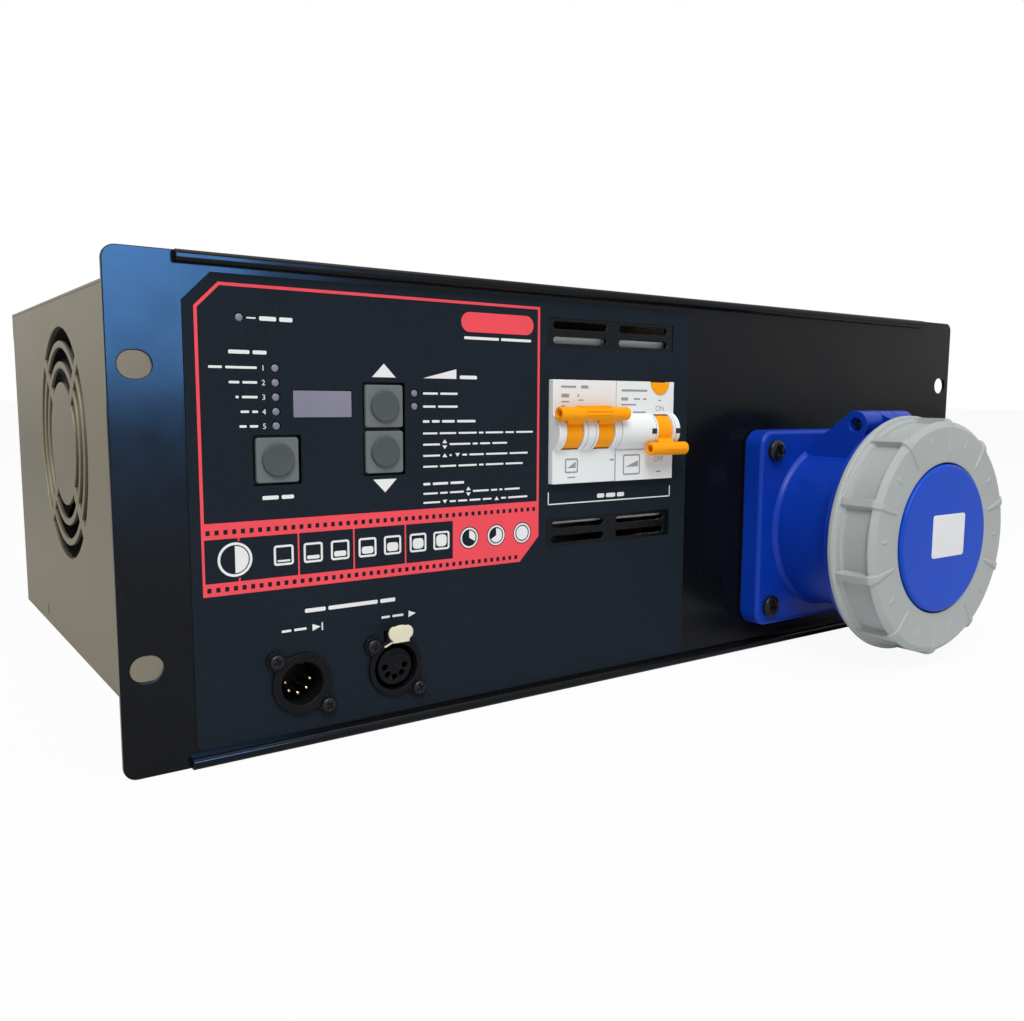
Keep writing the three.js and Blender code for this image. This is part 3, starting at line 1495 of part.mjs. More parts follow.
function terminalBlock() {
  const floor = sheet + seatGap;
  const top = floor + terminalHeight;
  const body = box(about(terminalX, terminalWidth / 2), about(terminalY, terminalDepth / 2),
    [floor, top]);
  const pitch = terminalWidth / terminalWays;
  const pockets = range(terminalWays).flatMap((i) => {
    const x = terminalX + (i - (terminalWays - 1) / 2) * pitch;
    return [-1, 1].map((side) =>
      rod("z", terminalPocket / 2, [x, terminalY + (side * terminalDepth) / 4], top - terminalPocketDepth,
        top + overrun, coarse));
  });
  return cut(body, ...pockets);
}

// Cable gland through the rear panel, with a clear bore for the supply cable
function cableGland() {
  const centre = [glandX, glandZ];
  const face = bodyDepth + seatGap;
  const hexEnd = face + glandHexThick;
  const end = rearReach;
  const thread = rod("y", glandThread, centre, trayRear - glandInside, face + glandHexThick / 2,
    fine);
  const hex = rod("y", glandHex, centre, face, hexEnd, hexSides);
  const dome = turned("y", [
    [0, hexEnd - glandHexThick / 2], [glandDome, hexEnd - glandHexThick / 2],
    [glandDome, hexEnd + glandDomeLength * glandDomeShare], [glandMouth, end], [0, end],
  ], centre, medium);
  const bore = rod("y", glandBore, centre, trayRear - glandInside - overrun, end + overrun, medium);
  return cut(join(thread, hex, dome), bore);
}

function glandNut() {
  const back = trayRear - seatGap;
  const outer = rod("y", glandHex, [glandX, glandZ], back - glandNutThick, back, hexSides);
  return cut(outer, rod("y", glandThread + seatGap, [glandX, glandZ], back - glandNutThick - overrun,
    back + overrun, fine));
}

// The assembly

part("front_panel", frontPanel(), finishes.blackPaint);
part("front_overlay", frontOverlay(), finishes.overlay);
part("display_window", displayWindow(), finishes.lilac);
part("display_module", displayModule(), finishes.blackPlastic);
part("drive_light_pipe", lightPipe([[driveX, driveZ]]), finishes.lilac);
part("option_light_pipe", lightPipe(optionLights), finishes.lilac);
part("status_light_pipe", lightPipe(statusLights), finishes.lilac);
part("control_board", controlBoard(), finishes.board);
for (const [name, [x, z]] of Object.entries(keys)) {
  part(name, keyCap(x, z), finishes.keyGrey);
  part(name.replace("button", "switch"), keySwitch(x, z), finishes.blackPlastic);
}
part("dmx_in_shell", dmxInShell(), finishes.blackPlastic);
part("dmx_in_insert", dmxInInsert(), finishes.brass);
part("dmx_thru_shell", dmxThruShell(), finishes.blackPlastic);
part("dmx_thru_insert", dmxThruInsert(), finishes.blackPlastic);
part("dmx_thru_latch", dmxLatch(), finishes.nickel);
dmxScrews.forEach(([x, z], i) => {
  const shape = crossScrewY(x, z, overlayFront - dmxFlangeThick, dmxHeadRadius, dmxHeadHeight,
    dmxShankRadius, dmxShankLength);
  part(`dmx_screw_${i + 1}`, shape, finishes.darkScrew);
});
part("mcb_body", mcbBody(), finishes.whitePlastic);
part("mcb_toggle", toggle(breakerBands.pair, breakerLeft + breakerModule, pairBarLength, toggleAngle),
  finishes.orange);
part("rcd_body", rcdBody(), finishes.whitePlastic);
part("rcd_toggle", toggle(breakerBands.solo, breakerBands.solo[0], soloBarLength, -toggleAngle),
  finishes.orange);
part("rcd_test_button", testButton(), finishes.orange);
part("din_rail", dinRail(), finishes.steel);
part("rail_bracket", railBracket(), finishes.steel);
part("socket_gasket", socketGasket(), finishes.rubber);
part("socket_housing", socketHousing(), finishes.blue);
part("socket_insert", socketInsert(), finishes.blackPlastic);
contactPlaces.forEach((place, i) => {
  part(`socket_contact_${i + 1}`, socketContact(place), finishes.brass);
});
part("lid_bracket", lidBracket(), finishes.blue);
part("lid_disc", lidDisc(), finishes.blue);
part("bayonet_ring", bayonetRing(), finishes.ringGrey);
part("lid_label", capLabel(), finishes.label);
part("hinge_pin", hingePin(), finishes.darkScrew);
socketScrews.forEach(([x, z], i) => {
  const shape = crossScrewY(x, z, flangeFront, socketHeadRadius, socketHeadHeight, socketShankRadius,
    socketShankLength);
  part(`socket_screw_${i + 1}`, shape, finishes.darkScrew);
});
part("chassis_tray", chassisTray(), finishes.zinc);
part("top_cover", topCover(), finishes.zinc);
part("rear_panel", rearPanel(), finishes.zinc);
coverScrews.forEach(([x, z], i) => {
  part(`cover_screw_${i + 1}`, coverScrew(x, z), finishes.darkScrew);
});
part("fan_frame", fanFrame(), finishes.blackPlastic);
part("fan_rotor", fanRotor(), finishes.blackPlastic);
part("heat_sink", heatSink(), finishes.aluminium);
part("thyristor_module", thyristorModule(), finishes.blackPlastic);
part("choke", choke(), finishes.copper);
part("choke_clamp", chokeClamp(), finishes.steel);
part("supply_transformer", supplyTransformer(), finishes.steel);
part("terminal_block", terminalBlock(), finishes.whitePlastic);
part("cable_gland", cableGland(), finishes.blackPlastic);
part("gland_nut", glandNut(), finishes.blackPlastic);

export default assembly;
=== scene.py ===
"""Rack-mounted dimmer pack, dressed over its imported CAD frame.

Every size is in millimetres in the panel's own frame: X to the right along the panel, Y back
from its front face and Z up from its bottom edge.  Shapes become metres in the model's frame
when their mesh is made.
"""

from __future__ import annotations

import json
import logging
import math
from dataclasses import dataclass, field, replace
from enum import Enum
from functools import cache
from typing import Callable, Sequence

import bmesh
import bpy
import numpy as np
from mathutils import Matrix, Vector
from mathutils.geometry import delaunay_2d_cdt

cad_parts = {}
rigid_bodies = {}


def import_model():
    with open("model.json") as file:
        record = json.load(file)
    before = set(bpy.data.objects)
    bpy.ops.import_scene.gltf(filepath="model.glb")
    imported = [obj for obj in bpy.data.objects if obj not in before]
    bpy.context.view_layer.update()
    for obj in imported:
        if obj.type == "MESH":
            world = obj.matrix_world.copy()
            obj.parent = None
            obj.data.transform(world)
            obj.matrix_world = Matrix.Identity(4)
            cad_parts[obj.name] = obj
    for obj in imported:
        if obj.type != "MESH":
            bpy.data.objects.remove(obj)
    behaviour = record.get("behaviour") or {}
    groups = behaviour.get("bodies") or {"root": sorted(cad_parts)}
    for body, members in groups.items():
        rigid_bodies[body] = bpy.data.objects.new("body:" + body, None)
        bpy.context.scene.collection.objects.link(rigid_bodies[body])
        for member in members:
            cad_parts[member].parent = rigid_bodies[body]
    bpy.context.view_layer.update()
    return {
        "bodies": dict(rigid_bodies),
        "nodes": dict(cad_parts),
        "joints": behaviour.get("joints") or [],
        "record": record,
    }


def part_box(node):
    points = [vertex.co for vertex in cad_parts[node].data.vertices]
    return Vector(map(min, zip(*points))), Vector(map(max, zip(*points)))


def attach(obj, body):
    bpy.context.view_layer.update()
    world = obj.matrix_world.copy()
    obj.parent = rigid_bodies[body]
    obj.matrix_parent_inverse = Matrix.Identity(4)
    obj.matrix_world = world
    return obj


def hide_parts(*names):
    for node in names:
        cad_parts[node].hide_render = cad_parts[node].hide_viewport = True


log = logging.getLogger("dimmer_pack")

Points = np.ndarray
Outline = np.ndarray
Pair = tuple[float, float]
Triple = tuple[float, float, float]
Feeds = dict[str | int, object]

MILLIMETRE = 0.001
FULL_TURN = 2.0 * math.pi
TOUCHING = 1e-6  # Millimetres under which two points are one.
LEVEL = 1e-12  # Millimetres under which an edge doesn't rise.
CHASSIS = "chassis"


class Axis(Enum):
    """The axis that a turned or extruded shape runs along."""

    X = 0
    Y = 1


# Shapes


@dataclass
class Shell:
    """One closed surface: its vertices in millimetres and its faces.

    Attributes:
        points: Array of shape (n, 3).
        faces: Index arrays, each of shape (m, corners).
    """

    points: Points
    faces: list[np.ndarray]

    def volume(self) -> float:
        """Adds up the signed tetrahedra between the faces and the middle.

        Returns:
            The signed volume in cubic millimetres.
        """
        total = 0.0
        centred = self.points - self.points.mean(axis=0)
        for block in self.faces:
            for k in range(1, block.shape[1] - 1):
                a, b, c = centred[block[:, 0]], centred[block[:, k]], centred[block[:, k + 1]]
                total += float(np.einsum("ij,ij->i", a, np.cross(b, c)).sum()) / 6.0
        return total

    def outward(self) -> "Shell":
        """Turns the faces over where they point inwards.

        Returns:
            The shell with its faces pointing outwards.
        """
        if self.volume() < 0.0:
            return Shell(self.points, [block[:, ::-1] for block in self.faces])
        return self

    def moved(self, x: float = 0.0, y: float = 0.0, z: float = 0.0) -> "Shell":
        """Returns the shell shifted by the given distances."""
        return Shell(self.points + np.array([x, y, z]), self.faces)


def grid_faces(rows: int, cols: int, close_rows: bool, close_cols: bool) -> np.ndarray:
    """Joins a grid of points into quads.

    Args:
        rows: Number of rows of points.
        cols: Number of columns of points.
        close_rows: Whether the last row joins the first.
        close_cols: Whether the last column joins the first.

    Returns:
        Index array of shape (m, 4).
    """
    index = np.arange(rows * cols).reshape(rows, cols)
    if close_rows:
        index = np.vstack([index, index[:1]])
    if close_cols:
        index = np.hstack([index, index[:, :1]])
    quads = np.stack([index[:-1, :-1], index[:-1, 1:], index[1:, 1:], index[1:, :-1]], axis=-1)
    return quads.reshape(-1, 4)


def skin(grid: Points, close_rows: bool = False) -> Shell:
    """Closes a grid whose columns run round a section: rows are joined along the shape.

    The surface is point(i, j) = grid[i, j], with both open ends closed by a fan about the mean of
    the end row.

    Args:
        grid: Array of shape (rows, columns, 3).
        close_rows: Whether the last row joins the first, as on a ring.

    Returns:
        The closed shell, facing outwards.
    """
    rows, cols, _ = grid.shape
    points = grid.reshape(-1, 3)
    faces = [grid_faces(rows, cols, close_rows, True)]
    if not close_rows:
        centres = np.stack([grid[0].mean(axis=0), grid[-1].mean(axis=0)])
        points = np.vstack([points, centres])
        ring = np.arange(cols)
        ahead = np.roll(ring, -1)
        low = np.stack([np.full(cols, rows * cols), ahead, ring], axis=-1)
        last = (rows - 1) * cols
        high = np.stack([np.full(cols, rows * cols + 1), last + ring, last + ahead], axis=-1)
        faces += [low, high]
    return Shell(points, faces).outward()


def place(axis: Axis, u: Points, v: Points, w: Points) -> Points:
    """Stacks two coordinates across an axis and one along it into X, Y, Z.

    Args:
        axis: Axis that w runs along.
        u: First coordinate across: Y for X, X for Y.
        v: Second coordinate across, which is Z for both.
        w: Coordinate along the axis.

    Returns:
        Points with X, Y, Z in the last dimension.
    """
    order = (w, u, v) if axis is Axis.X else (u, w, v)
    return np.stack(np.broadcast_arrays(*order), axis=-1)


def polar(axis: Axis, centre: Pair, radius: Points, angle: Points, along: Points) -> Points:
    """Places points by radius and angle about an axis: (a + r cos t, b + r sin t) across it.

    Args:
        axis: Axis of the shape.
        centre: The axis's place in the two other coordinates.
        radius: Distance from the axis.
        angle: Angle in radians.
        along: Coordinate along the axis.

    Returns:
        Points with X, Y, Z in the last dimension.
    """
    return place(axis, centre[0] + radius * np.cos(angle), centre[1] + radius * np.sin(angle), along)


def full_circle(sides: int) -> Points:
    """Returns a row of equally spaced angles once round, in radians."""
    return np.linspace(0.0, FULL_TURN, sides, endpoint=False)[None, :]


def lathe(
    profile: Sequence[Sequence[float]],
    axis: Axis,
    centre: Pair,
    sides: int = 96,
    closed: bool = False,
    bend: Callable[[Points, Points, Points], Points] | None = None,
) -> Shell:
    """Turns a profile about an axis.

    The surface is (radius(s) cos t, radius(s) sin t, distance(s)), where s runs along the profile
    and t once round.  A bend may change the radius at each s and t.

    Args:
        profile: Pairs of radius and distance along the axis.
        axis: Axis of the turned shape.
        centre: The axis's place in the two other coordinates.
        sides: Number of steps round.
        closed: Whether the profile joins up, as on a ring.
        bend: Function of radius, distance and angle that returns new radii.

    Returns:
        The closed shell.
    """
    pairs = np.asarray(profile, float)
    angle = full_circle(sides)
    radius, along = (np.repeat(pairs[:, k : k + 1], sides, axis=1) for k in (0, 1))
    if bend is not None:
        radius = bend(radius, along, angle)
    return skin(polar(axis, centre, radius, angle, along), close_rows=closed)


def arc(centre: Pair, radius: float, start: float, end: float, steps: int) -> Outline:
    """Returns points of a circular arc between two angles in degrees, both ends included."""
    angle = np.radians(np.linspace(start, end, steps + 1))
    return np.stack([centre[0] + radius * np.cos(angle), centre[1] + radius * np.sin(angle)], axis=-1)


def circle(u: float, v: float, radius: float, steps: int = 48) -> Outline:
    """Returns a circle's outline."""
    return arc((u, v), radius, 0.0, 360.0, steps)[:-1]


def rounded_rect(
    u: float, v: float, width: float, height: float, radius: float, steps: int = 8
) -> Outline:
    """Returns the outline of a rectangle with rounded corners about a middle.

    Args:
        u: Middle across.
        v: Middle up.
        width: Whole width.
        height: Whole height.
        radius: Corner radius.
        steps: Steps in each corner.

    Returns:
        Points, anticlockwise.
    """
    x, y = width / 2 - radius, height / 2 - radius
    corners = [(x, -y, -90.0), (x, y, 0.0), (-x, y, 90.0), (-x, -y, 180.0)]
    return np.vstack([arc((u + a, v + b), radius, t, t + 90.0, steps) for a, b, t in corners])


def obround(u: float, v: float, length: float, height: float, steps: int = 16) -> Outline:
    """Returns a slot's outline with half-round ends, lying along its first axis."""
    x, r = (length - height) / 2, height / 2
    return np.vstack([arc((u + x, v), r, -90.0, 90.0, steps), arc((u - x, v), r, 90.0, 270.0, steps)])


def polygon(*corners: Sequence[float]) -> Outline:
    """Returns an outline through the given corners."""
    return np.asarray(corners, float)


def rect(u: Sequence[float], v: Sequence[float]) -> Outline:
    """Returns a sharp rectangle between two values across and two values up."""
    return polygon((u[0], v[0]), (u[1], v[0]), (u[1], v[1]), (u[0], v[1]))


def four(u: float, v: float, half_u: float, half_v: float) -> list[Pair]:
    """Returns the four places at the given distances either side of a middle."""
    return [(u + i * half_u, v + j * half_v) for i in (-1, 1) for j in (-1, 1)]


def spin_area(outline: Outline) -> float:
    """Returns the outline's signed area, positive when it runs anticlockwise."""
    x, y = outline[:, 0], outline[:, 1]
    return 0.5 * float(np.sum(x * np.roll(y, -1) - np.roll(x, -1) * y))


def wound(outline: Outline) -> Outline:
    """Turns an outline anticlockwise and drops its repeated points.

    Args:
        outline: Points of the outline, either way round.

    Returns:
        The outline, anticlockwise.
    """
    ahead = np.roll(outline, -1, axis=0)
    kept = outline[np.linalg.norm(ahead - outline, axis=1) > TOUCHING]
    return kept if spin_area(kept) > 0.0 else kept[::-1]


def inset(outline: Outline, distance: float) -> Outline:
    """Moves an anticlockwise outline inwards, each corner along its mitre.

    A corner moves by distance / (1 + n1.n2) times the sum of its two edges' normals.

    Args:
        outline: Anticlockwise points.
        distance: Distance inwards; negative grows the outline.

    Returns:
        As many points.
    """
    edge = np.roll(outline, -1, axis=0) - outline
    edge /= np.linalg.norm(edge, axis=1, keepdims=True)
    normal = np.stack([-edge[:, 1], edge[:, 0]], axis=-1)
    before = np.roll(normal, 1, axis=0)
    scale = 1.0 / (1.0 + np.einsum("ij,ij->i", normal, before))
    return outline + distance * (normal + before) * scale[:, None]


def inside(points: Points, outline: Outline) -> np.ndarray:
    """Tests points against an outline by counting crossings of a ray to the right.

    Args:
        points: Points to test.
        outline: The outline, either way round.

    Returns:
        Whether each point lies inside.
    """
    x, y = points[:, 0][:, None], points[:, 1][:, None]
    x0, y0 = outline[:, 0][None, :], outline[:, 1][None, :]
    x1, y1 = np.roll(x0, -1, axis=1), np.roll(y0, -1, axis=1)
    spans = (y0 > y) != (y1 > y)
    rise = np.where(np.abs(y1 - y0) < LEVEL, LEVEL, y1 - y0)
    return (np.sum(spans & (x < x0 + (y - y0) / rise * (x1 - x0)), axis=1) % 2).astype(bool)


def fill(loops: list[Outline]) -> np.ndarray:
    """Triangulates the area inside the first loop and outside the others.

    Args:
        loops: Outer loop and holes.

    Returns:
        Triangles that index the loops' points taken one after another.
    """
    flat = np.vstack(loops)
    starts = np.cumsum([0] + [len(loop) for loop in loops])
    edges = [
        (int(start + k), int(start + (k + 1) % len(loop)))
        for start, loop in zip(starts, loops)
        for k in range(len(loop))
    ]
    result = delaunay_2d_cdt([Vector(p) for p in flat.tolist()], edges, [], 0, 1e-7)
    origin = np.array([source[0] if source else -1 for source in result[3]])
    triangles = origin[np.array(result[2])]
    triangles = triangles[(triangles >= 0).all(axis=1)]
    middle = flat[triangles].mean(axis=1)
    keep = inside(middle, loops[0])
    for hole in loops[1:]:
        keep &= ~inside(middle, hole)
    return triangles[keep]


def plate(
    outer: Outline,
    holes: Sequence[Outline],
    axis: Axis,
    low: float,
    high: float,
    round_low: float = 0.0,
    round_high: float = 0.0,
    steps: int = 4,
) -> Shell:
    """Carries an outline with holes along an axis, with quarter-round edges.

    Each wall is a grid: its rows are the outline moved in by r(1 - sin t) at depth r(1 - cos t)
    from a face, and its columns are the outline's points.

    Args:
        outer: Outer outline.
        holes: Outlines of the holes.
        axis: Axis that the thickness runs along.
        low: Face nearer the axis's negative end.
        high: The other face.
        round_low: Radius of the edges at the low face.
        round_high: Radius of the edges at the high face.
        steps: Steps in each rounded edge.

    Returns:
        The closed shell.
    """
    loops = [wound(np.asarray(loop, float)) for loop in (outer, *holes)]
    stations: list[Pair] = []
    for radius, face, sign in ((round_low, low, 1.0), (round_high, high, -1.0)):
        turns = np.linspace(0.0, math.pi / 2, steps + 1) if radius > 0.0 else (0.0,)
        run = [(radius * (1 - math.sin(t)), face + sign * radius * (1 - math.cos(t))) for t in turns]
        stations += run if sign > 0 else run[::-1]
    along = np.array([where for _, where in stations])[:, None]
    points, faces, first, last, low_index, high_index = [], [], [], [], [], []
    count = 0
    for number, loop in enumerate(loops):
        way = 1 if number == 0 else -1
        rows = np.stack([inset(loop, way * depth) if depth > 0.0 else loop for depth, _ in stations])
        faces.append((grid_faces(len(stations), len(loop), False, True) + count)[:, ::way])
        index = count + np.arange(len(loop))
        low_index.append(index)
        high_index.append(index + (len(stations) - 1) * len(loop))
        points.append(place(axis, rows[..., 0], rows[..., 1], along).reshape(-1, 3))
        first.append(rows[0])
        last.append(rows[-1])
        count += len(points[-1])
    faces.append(np.concatenate(low_index)[fill(first)][:, ::-1])
    faces.append(np.concatenate(high_index)[fill(last)])
    return Shell(np.vstack(points), faces).outward()


def brick(x: Sequence[float], y: Sequence[float], z: Sequence[float], edge: float = 0.0) -> Shell:
    """Makes a box between two values on each axis, with edges along Y rounded.

    Args:
        x: Low and high X.
        y: Low and high Y.
        z: Low and high Z.
        edge: Radius of the rounded edges.

    Returns:
        The closed shell.
    """
    outline = rect(x, z)
    if edge > 0.0:
        outline = rounded_rect((x[0] + x[1]) / 2, (z[0] + z[1]) / 2, x[1] - x[0], z[1] - z[0], edge, 3)
    return plate(outline, [], Axis.Y, y[0], y[1], min(0.6 * edge, 0.3), 0.0, 2)


# Placing the shapes in the model


def linked(name: str, data: bpy.types.ID) -> bpy.types.Object:
    """Makes an object of some data and links it to the scene.

    Args:
        name: Name of the object.
        data: Its mesh, curve, lamp or camera.

    Returns:
        The object.
    """
    obj = bpy.data.objects.new(name, data)
    bpy.context.scene.collection.objects.link(obj)
    return obj


def smooth(mesh: bpy.types.Mesh, degrees: float) -> None:
    """Shades a mesh smooth but for the edges sharper than an angle in degrees."""
    mesh.polygons.foreach_set("use_smooth", np.ones(len(mesh.polygons), bool))
    mesh.set_sharp_from_angle(angle=math.radians(degrees))


@dataclass
class Workshop:
    """Turns shells into objects that ride on the frame's bodies.

    Attributes:
        nodes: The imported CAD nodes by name.
        face_y: Model Y, in metres, of the panel's front face.
        soft_angle: Angle in degrees past which an edge of a copied node is rounded.
        flat_angle: Angle in degrees under which two faces of a copied node become one.
        merge: Distance in metres under which a copied node's points become one.
        made: Names of the pieces so far.
    """

    nodes: dict[str, bpy.types.Object]
    face_y: float
    soft_angle: float = 30.0
    flat_angle: float = 0.5
    merge: float = 2e-6
    made: list[str] = field(default_factory=list)

    def mesh(self, name: str, shells: Sequence[Shell], crease: float) -> bpy.types.Mesh:
        """Puts shells into one mesh, smooth but for its creases.

        Args:
            name: Name of the mesh.
            shells: Closed shells.
            crease: Angle in degrees past which an edge stays sharp.

        Returns:
            The mesh, in metres in the model's frame.
        """
        starts = np.cumsum([0] + [len(shell.points) for shell in shells])
        faces: list[list[int]] = []
        for start, shell in zip(starts, shells):
            for block in shell.faces:
                faces += (block + start).tolist()
        where = np.vstack([shell.points for shell in shells]) * MILLIMETRE
        where[:, 1] += self.face_y
        mesh = bpy.data.meshes.new(name)
        mesh.from_pydata(where.tolist(), [], faces)
        mesh.validate()
        smooth(mesh, crease)
        mesh.update()
        return mesh

    def piece(
        self,
        name: str,
        shells: Sequence[Shell],
        finish: "Finish",
        node: str | None = None,
        body: str = CHASSIS,
        crease: float = 32.0,
    ) -> None:
        """Makes one piece, dresses it and lets it ride.

        Args:
            name: Name of the piece.
            shells: Closed shells that it is made of.
            finish: Its finish.
            node: CAD node that it stands for, if any.
            body: Body that it rides on.
            crease: Angle in degrees past which an edge stays sharp.
        """
        self.settle(linked(name, self.mesh(name, shells, crease)), finish, node, body)

    def settle(self, obj: bpy.types.Object, finish: "Finish", node: str | None, body: str) -> None:
        """Args:
            obj: The object.
            finish: Its finish.
            node: CAD node that it stands for, if any.
            body: Body that it rides on.
        """
        obj.modifiers.new("face_weights", "WEIGHTED_NORMAL").keep_sharp = True
        obj.data.materials.clear()
        obj.data.materials.append(finish.material())
        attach(obj, body)
        if node is not None:
            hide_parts(node)
        self.made.append(obj.name)
        log.info("piece %s on %s", obj.name, body)

    def softened(self, name: str, node: str, finish: "Finish", width: float) -> None:
        """Copies a CAD node of the chassis and rounds its edges.

        Args:
            name: Name of the new piece.
            node: CAD node that is copied and replaced.
            finish: Its finish.
            width: Width of the rounded edges in millimetres.
        """
        obj = linked(name, self.nodes[node].data.copy())
        work = bmesh.new()
        work.from_mesh(obj.data)
        bmesh.ops.remove_doubles(work, verts=work.verts, dist=self.merge)
        flat = math.radians(self.flat_angle)
        bmesh.ops.dissolve_limit(work, angle_limit=flat, verts=work.verts, edges=work.edges)
        work.to_mesh(obj.data)
        work.free()
        smooth(obj.data, self.soft_angle)
        bevel = obj.modifiers.new("edges", "BEVEL")
        bevel.width = width * MILLIMETRE
        bevel.segments = 2
        bevel.limit_method = "ANGLE"
        bevel.angle_limit = math.radians(self.soft_angle)
        bevel.miter_outer = "MITER_ARC"
        bevel.harden_normals = False
        self.settle(obj, finish, node, CHASSIS)

    def dress(self, finish: "Finish", *nodes: str) -> None:
        """Gives carried-over CAD nodes a finish."""
        for slot in (slot for node in nodes for slot in self.nodes[node].material_slots):
            slot.material = finish.material()


# Finishes


class Grain(Enum):
    """The fine relief of a surface: stretch on each axis, scale per metre, strength and depth."""

    NONE = None
    MOULDED = (1.0, 1.0, 1.0), 1600.0, 0.22, 0.00006
    PAINT = (1.0, 1.0, 1.0), 420.0, 0.05, 0.0001
    ROLLED = (1.0, 0.06, 1.0), 900.0, 0.16, 0.00008
    FILM = (1.0, 1.0, 1.0), 2200.0, 0.18, 0.00005
    WINDING = (1.0, 1.0, 0.15), 420.0, 0.6, 0.0006


@dataclass
class Net:
    """A shader tree, and one short call for each node in it."""

    tree: bpy.types.NodeTree

    def feed(self, node: bpy.types.Node, feeds: Feeds) -> None:
        """Gives a node's inputs their values, or links them to other nodes' sockets.

        Args:
            node: The node.
            feeds: A value or a socket for each input, by its name or number.
        """
        for key, given in feeds.items():
            if isinstance(given, bpy.types.NodeSocket):
                self.tree.links.new(given, node.inputs[key])
            else:
                node.inputs[key].default_value = given

    def add(
        self, kind: str, feeds: Feeds | None = None, out: str | int = 0, **settings: object
    ) -> bpy.types.NodeSocket:
        """Adds a node.

        Args:
            kind: Its type, without the first word ShaderNode.
            feeds: A value or a socket for each input.
            out: Name or number of the output that is wanted.
            **settings: The node's own properties.

        Returns:
            The wanted output.
        """
        node = self.tree.nodes.new("ShaderNode" + kind)
        for label, setting in settings.items():
            setattr(node, label, setting)
        self.feed(node, feeds or {})
        return node.outputs[out]


def new_group(
    name: str, inputs: dict[str, float | tuple[float, ...]], outputs: dict[str, str]
) -> tuple[Net, bpy.types.NodeOutputs, bpy.types.Node]:
    """Starts a shader node group.

    Args:
        name: Name of the group.
        inputs: Default of each input: one number, three for a vector or four for a colour.
        outputs: Kind of each output.

    Returns:
        The group's net, the sockets that bring its inputs in, and its output node.
    """
    tree = bpy.data.node_groups.new(name, "ShaderNodeTree")
    kinds = {3: "NodeSocketVector", 4: "NodeSocketColor"}
    for label, default in inputs.items():
        kind = kinds[len(default)] if isinstance(default, tuple) else "NodeSocketFloat"
        tree.interface.new_socket(label, in_out="INPUT", socket_type=kind).default_value = default
    for label, kind in outputs.items():
        tree.interface.new_socket(label, in_out="OUTPUT", socket_type=kind)
    return Net(tree), tree.nodes.new("NodeGroupInput").outputs, tree.nodes.new("NodeGroupOutput")


@cache
def tone_drift() -> bpy.types.NodeTree:
    """Builds the group that drifts a colour and a roughness over broad clouds and fine specks.

    The colour is scaled by 1 + amount times a cloud in [-1, 1], then mixed with the dust by
    specks times the peaks of a fine noise; the roughness gains 0.06 times the cloud.

    Returns:
        A tree with a Colour and a Roughness output.
    """
    net, given, sink = new_group(
        "tone_drift",
        {
            "Colour": (0.5, 0.5, 0.5, 1.0),
            "Dust": (0.5, 0.5, 0.5, 1.0),
            "Roughness": 0.5,
            "Amount": 0.05,
            "Specks": 0.05,
            "Scale": 30.0,
        },
        {"Colour": "NodeSocketColor", "Roughness": "NodeSocketFloat"},
    )
    spot = net.add("TexCoord", out="Object")
    noise = net.add("TexNoise", {"Vector": spot, "Scale": given["Scale"], "Detail": 6.0}, "Fac")
    limits = {"From Min": 0.3, "From Max": 0.7, "To Min": -1.0, "To Max": 1.0}
    cloud = net.add("MapRange", {"Value": noise, **limits}, "Result")
    swing = net.add("Math", {0: cloud, 1: given["Amount"], 2: 1.0}, operation="MULTIPLY_ADD")
    shade = net.add("VectorMath", {0: given["Colour"], "Scale": swing}, "Vector", operation="SCALE")
    fine = net.add("TexNoise", {"Vector": spot, "Scale": 900.0, "Detail": 3.0}, "Fac")
    speck = net.add("MapRange", {"Value": fine, "From Min": 0.56, "From Max": 0.72}, "Result")
    share = net.add("Math", {0: speck, 1: given["Specks"]}, operation="MULTIPLY")
    mixed = net.add("Mix", {"Factor": share, 6: shade, 7: given["Dust"]}, 2, data_type="RGBA")
    rough = net.add(
        "Math", {0: cloud, 1: 0.06, 2: given["Roughness"]}, operation="MULTIPLY_ADD", use_clamp=True
    )
    net.feed(sink, {"Colour": mixed, "Roughness": rough})
    return net.tree


@cache
def fine_relief() -> bpy.types.NodeTree:
    """Builds the group for fine relief: noise stretched along each axis, as a normal.

    Returns:
        A tree with a Normal output.
    """
    net, given, sink = new_group(
        "fine_relief",
        {"Stretch": (1.0, 1.0, 1.0), "Scale": 500.0, "Strength": 0.1, "Depth": 0.0001},
        {"Normal": "NodeSocketVector"},
    )
    spot = net.add("TexCoord", out="Object")
    drawn = net.add("VectorMath", {0: spot, 1: given["Stretch"]}, "Vector", operation="MULTIPLY")
    noise = net.add(
        "TexNoise", {"Vector": drawn, "Scale": given["Scale"], "Detail": 4.0, "Roughness": 0.6}, "Fac"
    )
    bump = net.add(
        "Bump", {"Strength": given["Strength"], "Distance": given["Depth"], "Height": noise}, "Normal"
    )
    net.feed(sink, {"Normal": bump})
    return net.tree


